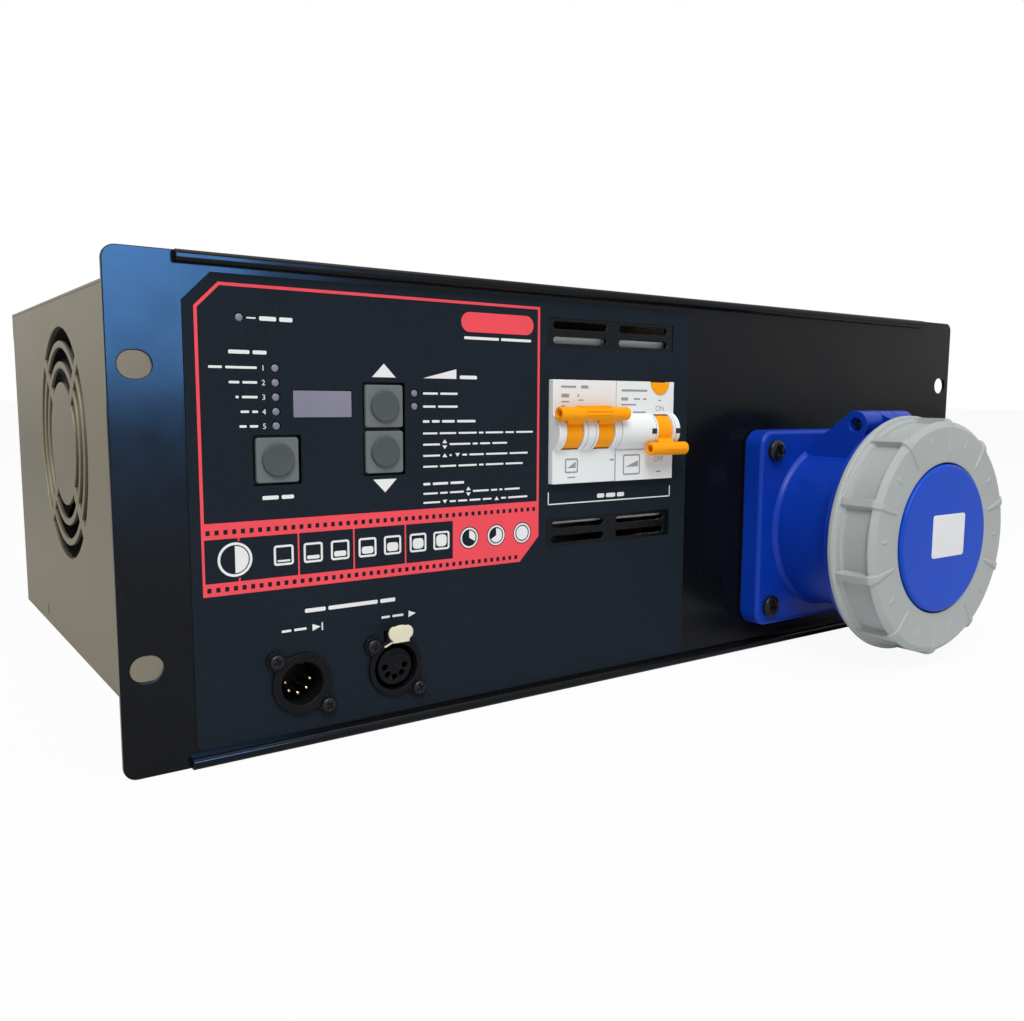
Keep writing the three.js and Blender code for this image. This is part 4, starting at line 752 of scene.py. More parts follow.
@dataclass(frozen=True)
class Finish:
    """What a surface is made of.

    Attributes:
        name: Name of the material.
        slot: The record's material slot for the finish; not used.
        colour: Linear base colour.
        roughness: Roughness of the surface.
        metallic: Share of metal.
        specular: Specular level.
        drift: Share by which the colour drifts in broad clouds.
        cloud: Scale of those clouds per metre.
        specks: Share of fine dust specks.
        dust: Linear colour of the specks.
        grain: Kind of fine relief.
    """

    name: str
    slot: str
    colour: Triple
    roughness: float
    metallic: float = 0.0
    specular: float = 0.5
    drift: float = 0.04
    cloud: float = 28.0
    specks: float = 0.03
    dust: Triple = (0.35, 0.34, 0.32)
    grain: Grain = Grain.MOULDED

    def material(self) -> bpy.types.Material:
        """Builds the material the first time and finds it again after that.

        Returns:
            The Blender material.
        """
        label = "finish_" + self.name
        known = bpy.data.materials.get(label)
        if known is not None:
            return known
        material = bpy.data.materials.new(label)
        material.use_nodes = True
        net = Net(material.node_tree)
        given = {
            "Colour": (*self.colour, 1.0),
            "Dust": (*self.dust, 1.0),
            "Roughness": self.roughness,
            "Amount": self.drift,
            "Specks": self.specks,
            "Scale": self.cloud,
        }
        colour = net.add("Group", given, "Colour", node_tree=tone_drift())
        feeds = {
            "Metallic": self.metallic,
            "Specular IOR Level": self.specular,
            "Base Color": colour,
            "Roughness": colour.node.outputs["Roughness"],
        }
        if self.grain is not Grain.NONE:
            relief = dict(zip(("Stretch", "Scale", "Strength", "Depth"), self.grain.value))
            feeds["Normal"] = net.add("Group", relief, "Normal", node_tree=fine_relief())
        net.feed(net.tree.nodes["Principled BSDF"], feeds)
        return material


FILM, PAINT, ROLLED = Grain.FILM, Grain.PAINT, Grain.ROLLED

PANEL_PAINT = Finish(
    "panel_paint", "panel_black", (0.0035, 0.004, 0.005), 0.17, specular=0.13, grain=PAINT, specks=0.01
)
OVERLAY_FILM = Finish(
    "overlay_film",
    "overlay_dark",
    (0.0113, 0.0165, 0.0238),
    0.55,
    specular=0.05,
    grain=FILM,
    specks=0.015,
)
PRINT_RED = Finish(
    "print_red", "overlay_dark", (0.86, 0.082, 0.105), 0.5, specular=0.08, grain=FILM, specks=0.0
)
PRINT_WHITE = replace(PRINT_RED, name="print_white", colour=(0.8, 0.8, 0.8))
PRINT_GREY = Finish(
    "print_grey", "breaker_white", (0.3, 0.31, 0.32), 0.5, specular=0.3, grain=FILM, specks=0.0
)
LIGHT_LENS = Finish("light_lens", "window_lilac", (0.20, 0.19, 0.26), 0.3, grain=Grain.NONE)
DISPLAY_GLASS = replace(
    LIGHT_LENS,
    name="display_glass",
    colour=(0.22, 0.215, 0.28),
    roughness=0.4,
    specular=0.1,
    drift=0.08,
)
KEY_PLASTIC = Finish("key_plastic", "key_grey", (0.145, 0.163, 0.165), 0.55, specular=0.12, drift=0.06)
# The boss is the key's own plastic, coloured darker than the cap as painted shade.
KEY_BOSS_SHADE = Finish("key_boss_shade", "key_grey", (0.074, 0.086, 0.084), 0.5, specular=0.16, drift=0.06)
DARK_PLASTIC = Finish("dark_plastic", "black_plastic", (0.010, 0.011, 0.012), 0.42, specular=0.4)
CONNECTOR_BLACK = Finish(
    "connector_black", "black_plastic", (0.0045, 0.005, 0.0065), 0.38, specular=0.1
)
SCREW_BLACK = Finish(
    "screw_black", "screw_black", (0.006, 0.0065, 0.008), 0.3, specular=0.25, grain=PAINT
)
GOLD_PIN = Finish("gold_pin", "brass", (0.82, 0.63, 0.28), 0.25, metallic=1.0, grain=Grain.NONE)
LATCH_NICKEL = Finish(
    "latch_nickel", "latch_nickel", (0.74, 0.69, 0.52), 0.4, specular=0.3, grain=PAINT
)
BREAKER_WHITE = Finish(
    "breaker_white", "breaker_white", (0.80, 0.83, 0.83), 0.42, specular=0.25, specks=0.02, drift=0.02
)
BREAKER_ORANGE = Finish(
    "breaker_orange", "orange_plastic", (1.0, 0.36, 0.002), 0.42, specular=0.15, specks=0.0, drift=0.03
)
SOCKET_BLUE = Finish(
    "socket_blue", "blue_plastic", (0.002, 0.036, 0.37), 0.34, specular=0.22, drift=0.08, specks=0.02
)
DISC_BLUE = Finish(
    "disc_blue", "blue_plastic", (0.004, 0.06, 0.5), 0.42, specular=0.2, drift=0.06, specks=0.02
)
RING_GREY = Finish(
    "ring_grey", "ring_grey", (0.39, 0.415, 0.405), 0.5, specular=0.2, drift=0.05, specks=0.06
)
LABEL_FILM = Finish(
    "label_film", "label_white", (0.76, 0.77, 0.78), 0.45, specular=0.2, grain=FILM, specks=0.02
)
ZINC_SHEET = Finish(
    "zinc_sheet",
    "zinc",
    (0.207, 0.181, 0.118),
    0.48,
    metallic=0.7,
    drift=0.14,
    cloud=9.0,
    grain=ROLLED,
    specks=0.08,
)
GASKET_RUBBER = Finish("gasket_rubber", "rubber", (0.012, 0.012, 0.012), 0.8, specular=0.2)
GLAND_BLACK = Finish("gland_black", "black_plastic", (0.015, 0.015, 0.016), 0.5)

# These dress only pieces that keep their CAD shapes, and with them their own slots.
STEEL_PLATE = Finish(
    "steel_plate", "", (0.45, 0.46, 0.47), 0.35, metallic=0.9, drift=0.06, grain=ROLLED
)
HEAT_SINK = Finish(
    "heat_sink", "", (0.60, 0.61, 0.62), 0.38, metallic=0.9, drift=0.05, grain=ROLLED
)
COPPER_COIL = Finish(
    "copper_coil", "", (0.42, 0.14, 0.05), 0.42, metallic=0.4, drift=0.15, grain=Grain.WINDING
)
BOARD_GREEN = Finish("board_green", "", (0.012, 0.085, 0.035), 0.4, drift=0.1, specks=0.08)


# Places that several sub-assemblies share


FAN_CENTRE = (197.0, 104.4)
LID_HINGE = (-42.0, 118.0)


@dataclass(frozen=True)
class Front:
    """Places and openings on the front that several sub-assemblies share, in millimetres."""

    width: float = 482.6
    height: float = 177.0
    sheet: float = 2.0
    film: float = 0.5
    select_key: Pair = (-185.9, 106.8)
    up_key: Pair = (-143.8, 126.0)
    down_key: Pair = (-143.8, 108.6)
    key_opening: float = 17.8
    display: Pair = (-168.4, 126.7)
    display_size: Pair = (23.0, 10.2)
    drive_light: Pair = (-198.2, 156.2)
    option_top: Pair = (-186.0, 139.2)
    status_top: Pair = (-130.7, 131.0)
    light_pitch: float = 5.08
    light_hole: float = 1.7
    dmx_in: Pair = (-178.9, 23.9)
    dmx_thru: Pair = (-140.4, 23.9)
    dmx_hole: float = 11.0
    screw_offset: float = 9.75
    screw_hole: float = 1.8
    breaker_x: Pair = (-65.6, 4.9)
    breaker_z: float = 115.1
    breaker_gap: float = 0.4
    breaker_nose: float = 45.8
    vent_x: float = -30.3
    vent_z: Pair = (157.6, 71.1)
    socket: Pair = (111.5, 64.5)
    socket_hole: float = 42.4
    bolt_offset: Pair = (44.0, 40.0)
    bolt_hole: float = 2.8

    def lights(self, top: Pair, count: int) -> list[Pair]:
        """Returns the middles of a column of lights, from the top one down."""
        return [(top[0], top[1] - k * self.light_pitch) for k in range(count)]

    def option_lights(self) -> list[Pair]:
        """Returns the middles of the five option lights."""
        return self.lights(self.option_top, 5)

    def status_lights(self) -> list[Pair]:
        """Returns the middles of the two status lights."""
        return self.lights(self.status_top, 2)

    def connector_screws(self) -> list[Pair]:
        """Returns the middles of the connectors' four screws, each pair on a falling diagonal."""
        step, spots = self.screw_offset, (self.dmx_in, self.dmx_thru)
        return [(x - way * step, z + way * step) for x, z in spots for way in (1.0, -1.0)]

    def socket_screws(self) -> list[Pair]:
        """Returns the middles of the socket's four screws."""
        return four(*self.socket, *self.bolt_offset)

    def socket_holes(self) -> list[Outline]:
        """Returns the holes for the socket and its screws."""
        bolts = [circle(*spot, self.bolt_hole, 20) for spot in self.socket_screws()]
        return [circle(*self.socket, self.socket_hole, 72), *bolts]

    def control_holes(self) -> list[Outline]:
        """Lists the holes that the panel and the film over it have in common.

        The through connector's hole is a circle with a flat-topped notch for the latch, and the
        up and down keys share one opening.

        Returns:
            Their outlines.
        """
        half = self.key_opening / 2
        low, high = self.down_key[1] - half, self.up_key[1] + half
        x, z = self.dmx_thru
        notch = polygon((x + 4.6, z + 14.7), (x - 4.6, z + 14.7))
        left, right = self.breaker_x
        room = right - left + 2 * self.breaker_gap
        lights = [*self.option_lights(), *self.status_lights(), self.drive_light]
        return [
            rounded_rect(*self.select_key, self.key_opening, self.key_opening, 0.5, 3),
            rounded_rect(self.up_key[0], (low + high) / 2, self.key_opening, high - low, 0.5, 3),
            rounded_rect(*self.display, *self.display_size, 0.3, 2),
            rounded_rect((left + right) / 2, self.breaker_z, room, self.breaker_nose, 0.3, 2),
            circle(*self.dmx_in, self.dmx_hole, 48),
            np.vstack([arc(self.dmx_thru, self.dmx_hole, 114.7, 425.3, 44), notch]),
            *[circle(*spot, self.light_hole, 20) for spot in lights],
            *[circle(*spot, self.screw_hole, 16) for spot in self.connector_screws()],
        ]


FRONT = Front()


# Sub-assemblies


@dataclass
class FoldedPanel:
    """The painted front panel with its folded lips and the pillars behind it."""

    shop: Workshop
    corner: float = 4.5
    lip_ends: Pair = (-219.4, 208.5)
    lip_height: float = 4.2
    lip_proud: float = 3.5
    lip_round: float = 1.7
    relief: Pair = (6.0, 1.4)
    ear_slot: Pair = (10.8, 9.2)
    ear_pitch: Pair = (465.1, 101.6)
    vent: Pair = (29.4, 3.0)
    vent_pitch: Pair = (36.9, 6.3)
    pillar_middle: Pair = (-163.85, 128.0)
    pillar_half: Pair = (41.15, 30.0)

    def outline(self) -> Outline:
        """Cuts a bend relief into the panel's outline at the right end of each lip.

        Returns:
            The outline of the sheet.
        """
        front = FRONT
        sheet = rounded_rect(0.0, front.height / 2, front.width, front.height, self.corner)
        x0, top = self.lip_ends[1], front.height
        x1, depth = x0 + self.relief[0], self.relief[1]
        upper = polygon((x1, top), (x1, top - depth), (x0, top - depth), (x0, top))
        lower = polygon((x0, 0.0), (x0, depth), (x1, depth), (x1, 0.0))
        return np.vstack([sheet[:18], upper, sheet[18:], lower])

    def slots(self, u: float, v: float, pitch: Pair, size: Pair) -> list[Outline]:
        """Returns four slots about a middle, at a pitch across and up."""
        return [obround(*spot, *size) for spot in four(u, v, pitch[0] / 2, pitch[1] / 2)]

    def lip(self) -> Shell:
        """Makes a lip: its section, a bar with a rounded front, runs along X.

        Returns:
            The lower lip.
        """
        y, r = self.lip_round - self.lip_proud, self.lip_round
        back = polygon((1.0, 0.0), (1.0, self.lip_height))
        turns = arc((y, self.lip_height - r), r, 90.0, 180.0, 8), arc((y, r), r, 180.0, 270.0, 8)
        return plate(np.vstack([back, *turns]), [], Axis.X, *self.lip_ends, 0.4, 0.4, 3)

    def build(self) -> None:
        """Builds the panel in place of its CAD node."""
        front = FRONT
        holes = front.control_holes()
        for z in front.vent_z:
            holes += self.slots(front.vent_x, z, self.vent_pitch, self.vent)
        holes += self.slots(0.0, front.height / 2, self.ear_pitch, self.ear_slot) + front.socket_holes()
        sheet = plate(self.outline(), holes, Axis.Y, 0.0, front.sheet, 0.35, 0.2, 3)
        lips = [self.lip(), self.lip().moved(z=front.height - self.lip_height)]
        pillar = [(2.6, 1.0), (2.6, 13.8), (2.4, 14.0)]
        spots = four(*self.pillar_middle, *self.pillar_half)
        pillars = [lathe(pillar, Axis.Y, spot, 24) for spot in spots]
        self.shop.piece("panel_sheet", [sheet, *lips, *pillars], PANEL_PAINT, "front_panel")


@dataclass
class OverlayFilm:
    """The printed film on the panel, with open fields round the vents."""

    shop: Workshop
    left: float = -217.2
    right: float = 16.6
    bottom: float = 5.4
    top: float = 170.7
    corner: float = 3.0
    chamfer: float = 9.7
    vent_field: Pair = (73.4, 12.4)

    def build(self) -> None:
        """Builds the film in place of its CAD node."""
        r = self.corner
        low, left, right = self.bottom + r, self.left + r, self.right - r
        outline = np.vstack(
            [
                arc((left, low), r, 180.0, 270.0, 8),
                arc((right, low), r, 270.0, 360.0, 8),
                arc((right, self.top - r), r, 0.0, 90.0, 8),
                polygon((self.left + self.chamfer, self.top), (self.left, self.top - self.chamfer)),
            ]
        )
        fields = [rounded_rect(FRONT.vent_x, z, *self.vent_field, 1.0, 4) for z in FRONT.vent_z]
        film = plate(outline, FRONT.control_holes() + fields, Axis.Y, -FRONT.film, 0.0, 0.12, 0.0, 2)
        self.shop.piece("overlay_sheet", [film], OVERLAY_FILM, "front_overlay")


def characters(body: str, x: float, z: float, size: float, near: float, far: float) -> Shell:
    """Makes plain text as a shell: the outline of the built-in typeface, given a thickness.

    Args:
        body: Characters.
        x: Middle across.
        z: Middle up.
        size: Height of the characters.
        near: Y of the front.
        far: Y of the back.

    Returns:
        The shell.
    """
    curve = bpy.data.curves.new("characters", "FONT")
    curve.body = body
    curve.size = 1.0
    curve.extrude = 0.05
    curve.resolution_u = 4
    curve.align_x = "CENTER"
    source = linked("characters", curve)
    graph = bpy.context.evaluated_depsgraph_get()
    mesh = bpy.data.meshes.new_from_object(source.evaluated_get(graph))
    work = bmesh.new()
    work.from_mesh(mesh)
    bmesh.ops.remove_doubles(work, verts=work.verts, dist=1e-5)
    bmesh.ops.triangulate(work, faces=work.faces)
    bmesh.ops.recalc_face_normals(work, faces=work.faces)
    work.to_mesh(mesh)
    work.free()
    flat = np.empty((len(mesh.vertices), 3))
    mesh.vertices.foreach_get("co", flat.ravel())
    index = np.empty((len(mesh.polygons), 3), int)
    mesh.polygons.foreach_get("vertices", index.ravel())
    bpy.data.objects.remove(source)
    bpy.data.curves.remove(curve)
    bpy.data.meshes.remove(mesh)
    low, high = flat.min(axis=0), flat.max(axis=0)
    middle, scale = (low + high) / 2, size / (high[1] - low[1])
    across, up = x + (flat[:, 0] - middle[0]) * scale, z + (flat[:, 1] - middle[1]) * scale
    along = np.where(flat[:, 2] > 0.0, near, far)
    return Shell(np.stack([across, along, up], axis=-1), [index]).outward()


# Rows of plain dashes on the film: left and right end, middle, height, shares of the lengths.
FILM_ROWS = (
    (-195.8, -192.6, 156.2, 0.5, (1,)),
    (-191.3, -179.3, 156.2, 1.5, (3, 2.4)),
    (-202.4, -189.0, 144.5, 1.3, (3, 2)),
    (-191.8, -180.2, 93.5, 1.4, (1.3, 1)),
    (-110.4, -102.3, 137.6, 1.4, (1,)),
    (-127.1, -111.4, 131.0, 0.85, (1, 1.2)),
    (-127.1, -111.4, 125.9, 0.85, (1, 1.6)),
    (-127.2, -103.0, 120.1, 1.0, (1, 1.2, 2, 3)),
    (-127.2, -74.4, 115.4, 0.75, (3, 3.5, 4, 1, 4, 2, 4)),
    (-127.2, -119.6, 111.0, 0.75, (1,)),
    (-127.2, -119.6, 106.6, 0.75, (1,)),
    (-127.2, -79.5, 102.3, 0.75, (3, 3.4, 4, 1, 4, 4)),
    (-127.2, -108.5, 95.4, 1.0, (1, 2.2, 2)),
    (-127.2, -108.6, 91.6, 0.75, (3, 1.6, 3)),
    (-127.2, -119.6, 88.0, 0.75, (1,)),
    (-108.3, -75.6, 153.3, 1.1, (2.2, 2)),
    (-177.0, -140.0, 50.8, 1.5, (2, 5, 1.6)),
    (-66.1, 6.4, 83.7, 0.5, (1,)),
    (-66.1, -65.6, 86.3, 5.4, (1,)),
    (5.9, 6.4, 86.2, 5.2, (1,)),
    (-38.5, -22.5, 86.1, 1.9, (1, 1.3, 1)),
)
# Rows beside the option lights, from the top one down: left end and shares.
OPTION_ROWS = (
    (-209.3, (3, 7)),
    (-202.5, (1, 1.4)),
    (-200.3, (1, 5)),
    (-198.7, (1.5, 1)),
    (-199.2, (1, 1.2)),
)
# Rows that start with small arrows: X and middle of the arrows, their ways, right end and shares.
ARROW_ROWS = (
    (-117.4, 111.0, (1, -1), -87.5, (4, 1, 2, 3)),
    (-117.4, 106.6, (1,), -114.2, (1,)),
    (-111.5, 106.6, (-1,), -77.0, (1, 3, 4.6, 4)),
    (-106.4, 91.6, (1, -1), -81.0, (4, 1.6, 0.8, 4)),
    (-117.4, 88.0, (-1,), -95.2, (1.6, 2.4, 3, 2.4)),
    (-92.6, 88.0, (1,), -77.0, (1, 4)),
)


@dataclass
class FrontPrint:
    """The print on the film: rules, blocks, arrows, step numbers and rows of plain dashes."""

    shop: Workshop
    lift: float = 0.05
    sunk: float = 0.1
    frame_left: float = -213.5
    frame_right: float = -71.0
    frame_top: float = 167.6
    frame_chamfer: float = 8.3
    rule: float = 1.1
    band_bottom: float = 60.0
    band_top: float = 84.5
    band_cut: Pair = (9.8, 10.3)
    frame_pitch: float = 21.8
    block_left: float = -113.5
    window_height: float = 15.4
    divider: float = 0.6
    divider_stubs: tuple[Pair, Pair] = ((64.55, 65.8), (78.9, 79.95))
    pill: tuple[float, ...] = (-92.0, 159.6, 35.3, 7.9)
    tooth: Pair = (1.5, 1.725)
    tooth_pitch: float = 3.06
    tooth_edge: float = 2.2
    tooth_ends: Pair = (1.5, 11.5)
    icon_z: float = 72.4
    dial_x: float = -106.0
    dial_pitch: float = 13.2
    level_x: float = -189.8
    level_pitch: float = 10.6
    level_half: float = 3.7
    level_rim: float = 1.3
    levels: int = 7
    ring_x: float = -202.1
    arrow_feet: Pair = (136.9, 98.2)
    arrow_half: float = 4.95
    arrow_rise: float = 5.1
    option_end: float = -192.6
    number_x: float = -190.4
    number_size: float = 1.9
    gap: float = 1.1

    def depth(self) -> Pair:
        """Returns the near and far Y of print on the film."""
        return -FRONT.film - self.lift, -FRONT.film + self.sunk

    def flat(self, outline: Outline, *holes: Outline) -> Shell:
        """Makes a thin printed area that stands a hair proud of the film."""
        return plate(outline, holes, Axis.Y, *self.depth())

    def bar(self, x0: float, x1: float, z: float, height: float) -> Shell:
        """Makes a printed bar between two values of X about a height."""
        corner = min(height, x1 - x0) * 0.3
        return self.flat(rounded_rect((x0 + x1) / 2, z, x1 - x0, height, corner, 2))

    def dashes(
        self, x0: float, x1: float, z: float, height: float, words: Sequence[float]
    ) -> list[Shell]:
        """Makes a row of plain dashes, their lengths in the given shares, with even gaps.

        Args:
            x0: Left end of the row.
            x1: Right end of the row.
            z: Middle of the row.
            height: Height of the dashes.
            words: Shares of the dashes' lengths.

        Returns:
            One shell for each dash.
        """
        unit = (x1 - x0 - self.gap * (len(words) - 1)) / sum(words)
        row: list[Shell] = []
        for share in words:
            row.append(self.bar(x0, x0 + unit * share, z, height))
            x0 += unit * share + self.gap
        return row

    def arrow(self, x: float, foot: float, half: float, rise: float) -> Shell:
        """Makes a printed triangle on its foot, upside down where it rises by less than nothing."""
        return self.flat(polygon((x - half, foot), (x + half, foot), (x, foot + rise)))

    def dials(self) -> list[Pair]:
        """Returns the middles of the three dials in the band."""
        return [(self.dial_x + k * self.dial_pitch, self.icon_z) for k in range(3)]

    def band(self) -> Shell:
        """Makes the band with its two rows of teeth, four windows and the room for three dials.

        Returns:
            One flat shell with all the holes in it.
        """
        left, right, low, high = self.frame_left, self.frame_right, self.band_bottom, self.band_top
        cut = (right - self.band_cut[0], low), (right, low + self.band_cut[1])
        outline = polygon((left, low), *cut, (right, high), (left, high))
        holes: list[Outline] = []
        edge, (upper_end, lower_end) = self.tooth_edge, self.tooth_ends
        for x in np.arange(left + edge, right - upper_end, self.tooth_pitch).tolist():
            for z in (high - edge, low + edge) if x < right - lower_end else (high - edge,):
                holes.append(rounded_rect(x, z, *self.tooth, 0.2, 1))
        edges = [self.block_left - k * self.frame_pitch for k in range(4)] + [left + self.divider]
        for x1, x0 in zip(edges[:-1], edges[1:]):
            middle = (x0 + x1) / 2, (low + high) / 2
            holes.append(rounded_rect(*middle, x1 - x0 - self.divider, self.window_height, 0.2, 1))
        return self.flat(outline, *holes, *[circle(*spot, 4.6, 40) for spot in self.dials()])

    def red(self) -> list[Shell]:
        """Makes the red frame, the band, the pill and two stubs of a rule in the last window.

        Returns:
            The shells.
        """
        left, right, foot, top = self.frame_left, self.frame_right, self.band_top, self.frame_top
        cut = (left + self.frame_chamfer, top), (left, top - self.frame_chamfer)
        outer = wound(polygon((left, foot), (right, foot), (right, top), *cut))
        x, half = self.block_left - 4 * self.frame_pitch, self.divider / 2
        stubs = [self.flat(rect((x - half, x + half), z)) for z in self.divider_stubs]
        pill = self.flat(obround(*self.pill, 20))
        return [self.flat(outer, inset(outer, self.rule)), self.band(), pill, *stubs]

    def icons(self) -> list[Shell]:
        """Makes the icons in the band: squares that fill up step by step, a ring and three dials.

        Returns:
            The shells.
        """
        half, room, z = self.level_half, self.level_half - self.level_rim, self.icon_z
        parts: list[Shell] = []
        for step in range(1, self.levels + 1):
            pair, side = divmod(step, 2)
            x = self.level_x + pair * self.frame_pitch + (side - 0.5) * self.level_pitch
            square = wound(rounded_rect(x, z, 2 * half, 2 * half, 1.0, 3))
            level = 2 * room * step / self.levels
            parts += [
                self.flat(square, inset(square, 0.8)),
                self.bar(x - room, x + room, z - room + level / 2, level),
            ]
        ring, hole = (circle(self.ring_x, z, radius, 48) for radius in (6.1, 5.2))
        parts += [self.flat(ring, hole), self.flat(arc((self.ring_x, z), 4.8, -90.0, 90.0, 24))]
        for k, centre in enumerate(self.dials()):
            parts.append(self.flat(circle(*centre, 4.2, 40), circle(*centre, 3.5, 36)))
            start = (-30.0, -150.0, -269.5)[k]
            wedge = arc(centre, 3.0, start, 90.0, 30)
            parts.append(self.flat(wedge if k == 2 else np.vstack([wedge, polygon(centre)])))
        return parts

    def white(self) -> list[Shell]:
        """Makes the white print: arrows, icons, dashes, numbers and brackets.

        Returns:
            The shells.
        """
        (up, down), half, rise = self.arrow_feet, self.arrow_half, self.arrow_rise
        x = FRONT.up_key[0]
        parts = [self.arrow(x, up, half, rise), self.arrow(x, down, half, -rise), *self.icons()]
        parts.append(self.flat(polygon((-127.0, 136.9), (-112.0, 136.9), (-112.0, 140.7))))
        for row in FILM_ROWS:
            parts += self.dashes(*row)
        for number, ((start, words), (_, z)) in enumerate(zip(OPTION_ROWS, FRONT.option_lights()), 1):
            parts += self.dashes(start, self.option_end, z, 0.85, words)
            parts.append(characters(str(number), self.number_x, z, self.number_size, *self.depth()))
        for x, z, ways, end, words in ARROW_ROWS:
            foot = 0.45 if len(ways) > 1 else -0.75
            parts += [self.arrow(x, z + way * foot, 1.1, way * 1.5) for way in ways]
            parts += self.dashes(x + 2.2, end, z, 0.75, words)
        for x in (-186.0, -146.0):
            tip = x + 15.0
            parts += self.dashes(x, x + 9.5, 44.2, 0.9, (1.2, 1.6))
            parts.append(self.flat(polygon((tip - 3.2, 42.9), (tip, 44.2), (tip - 3.2, 45.5))))
        parts.append(self.bar(-170.6, -170.1, 44.2, 3.0))
        return parts

    def build(self) -> None:
        """Builds the red and the white print."""
        self.shop.piece("film_red_print", self.red(), PRINT_RED)
        self.shop.piece("film_white_print", self.white(), PRINT_WHITE)


@dataclass
class Controls:
    """The lights, the display window and the three keys."""

    shop: Workshop
    key_size: Pair = (15.5, 16.0)
    boss: float = 5.8
    stem: float = 3.5
    pane_size: Pair = (22.4, 9.6)

    def lens(self, spot: Pair) -> Shell:
        """Turns one light's domed end: radius against depth, with a fine step at its edge."""
        profile = [(0.0, -0.62), (0.5, -0.6), (0.95, -0.5), (1.25, -0.34), (1.4, -0.1), (1.4, 2.4)]
        return lathe(profile, Axis.Y, spot, 24)

    def pipe(self, name: str, node: str, spots: Sequence[Pair]) -> None:
        """Makes the lights on one bar.

        Args:
            name: Name of the piece.
            node: CAD node that it stands for.
            spots: Middles of the lights, from the top one down.
        """
        x, top = spots[0]
        bar = brick((x - 2.5, x + 2.5), (2.3, 4.5), (spots[-1][1] - 2.5, top + 2.5), 0.4)
        self.shop.piece(name, [*map(self.lens, spots), bar], LIGHT_LENS, node)

    def key(self, name: str, body: str, spot: Pair) -> None:
        """Makes a key: a square plate, a round boss with a dished top, and its stem.

        The dish's depth is 2.02 + 0.1 s^2 at the share s of its radius.

        Args:
            name: Name of the CAD node.
            body: Body that it rides on.
            spot: Middle of the key.
        """
        x, z = spot
        cap = plate(rounded_rect(x, z, *self.key_size, 1.0, 6), [], Axis.Y, -0.9, 0.8, 0.45, 0.1, 5)
        r, s = self.boss, np.linspace(0.0, 1.0, 12)
        dish = np.stack([s * (r - 1.0), -2.02 - 0.1 * s**2], axis=-1)
        rim = [(r - 0.75, -2.2), (r - 0.45, -2.2), (r - 0.15, -2.06), (r, -1.75), (r, -1.2)]
        boss = lathe([*dish, *rim, (r + 0.35, -0.88), (r + 0.35, -0.5)], Axis.Y, spot, 72)
        half = self.stem
        stem = brick((x - half, x + half), (0.5, 8.3), (z - half, z + half), 0.3)
        self.shop.piece(name + "_cap", [cap, stem], KEY_PLASTIC, name, body)
        # The boss takes the darker copy of the key plastic: painted shade on its face.
        self.shop.piece(name + "_boss", [boss], KEY_BOSS_SHADE, None, body)

    def display(self) -> None:
        """Makes the display's window: a flush pane on a rim."""
        x, z = FRONT.display
        pane = plate(rounded_rect(x, z, *self.pane_size, 0.3, 3), [], Axis.Y, -0.5, 3.4, 0.12, 0.0, 3)
        rim = brick((x - 13.0, x + 13.0), (2.3, 3.5), (z - 6.6, z + 6.6), 0.4)
        self.shop.piece("display_pane", [pane, rim], DISPLAY_GLASS, "display_window")

    def build(self) -> None:
        """Builds the controls."""
        self.pipe("drive_lens", "drive_light_pipe", [FRONT.drive_light])
        self.pipe("option_lenses", "option_light_pipe", FRONT.option_lights())
        self.pipe("status_lenses", "status_light_pipe", FRONT.status_lights())
        self.display()
        self.key("select_button", "select_key", FRONT.select_key)
        self.key("up_button", "up_key", FRONT.up_key)
        self.key("down_button", "down_key", FRONT.down_key)
        self.shop.dress(DARK_PLASTIC, "select_switch", "up_switch", "down_switch", "display_module")
        self.shop.dress(BOARD_GREEN, "control_board")


def pan_head(
    spot: Pair, seat: float, radius: float, height: float, twist: float, outward: float = -1.0
) -> Shell:
    """Makes a pan head with a cross recess on a polar grid.

    The height over the seat at radius r is h (1 - 0.42 (r/R)^4), less the recess depth wherever
    the point lies within either bar of the cross; the side then falls to the seat.

    Args:
        spot: X and Z of the axis.
        seat: Y of the face under the head.
        radius: Radius of the head.
        height: Height of the head.
        twist: Turn of the cross in degrees.
        outward: Sign of Y that the head faces.

    Returns:
        The closed shell.
    """
    sides = 96
    rings = np.concatenate([np.linspace(0.02, 0.72, 22), np.linspace(0.76, 1.0, 8)])[:, None] * radius
    angle = full_circle(sides)
    turn = angle - math.radians(twist)
    u, v = np.abs(rings * np.cos(turn)), np.abs(rings * np.sin(turn))
    wide, reach, soft = 0.13 * radius, 0.56 * radius, 0.09 * radius
    apart = np.minimum(np.maximum(u - wide, v - reach), np.maximum(v - wide, u - reach))
    depth = np.clip(0.5 - apart / soft, 0.0, 1.0) * height * 0.6 * (1.0 - 0.45 * rings / reach)
    rise = np.maximum(height * (1.0 - 0.42 * (rings / radius) ** 4) - depth, 0.12 * height)
    side = np.array([[1.03, 0.42], [1.03, 0.2], [1.0, 0.0]])
    radii = np.vstack([np.repeat(rings, sides, axis=1), np.repeat(side[:, :1] * radius, sides, axis=1)])
    rises = np.vstack([rise, np.repeat(side[:, 1:] * height, sides, axis=1)])
    return skin(polar(Axis.Y, spot, radii, angle, seat + outward * rises))


def shank(spot: Pair, radius: float, start: float, end: float) -> Shell:
    """Makes a screw's shank with a rounded thread.

    With the radius R and a pitch p of half of it, r(y) = R - 0.06 R (1 + cos(2 pi y / p)).

    Args:
        spot: Place of the axis.
        radius: Outer radius.
        start: Where the shank begins along Y.
        end: Where it ends.

    Returns:
        The shank.
    """
    along = np.linspace(start, end, 60)
    depth, pitch = 0.06 * radius, 0.5 * radius
    radii = radius - depth * (1.0 + np.cos(FULL_TURN * along / pitch))
    return lathe(np.stack([radii, along], axis=-1), Axis.Y, spot, 16)


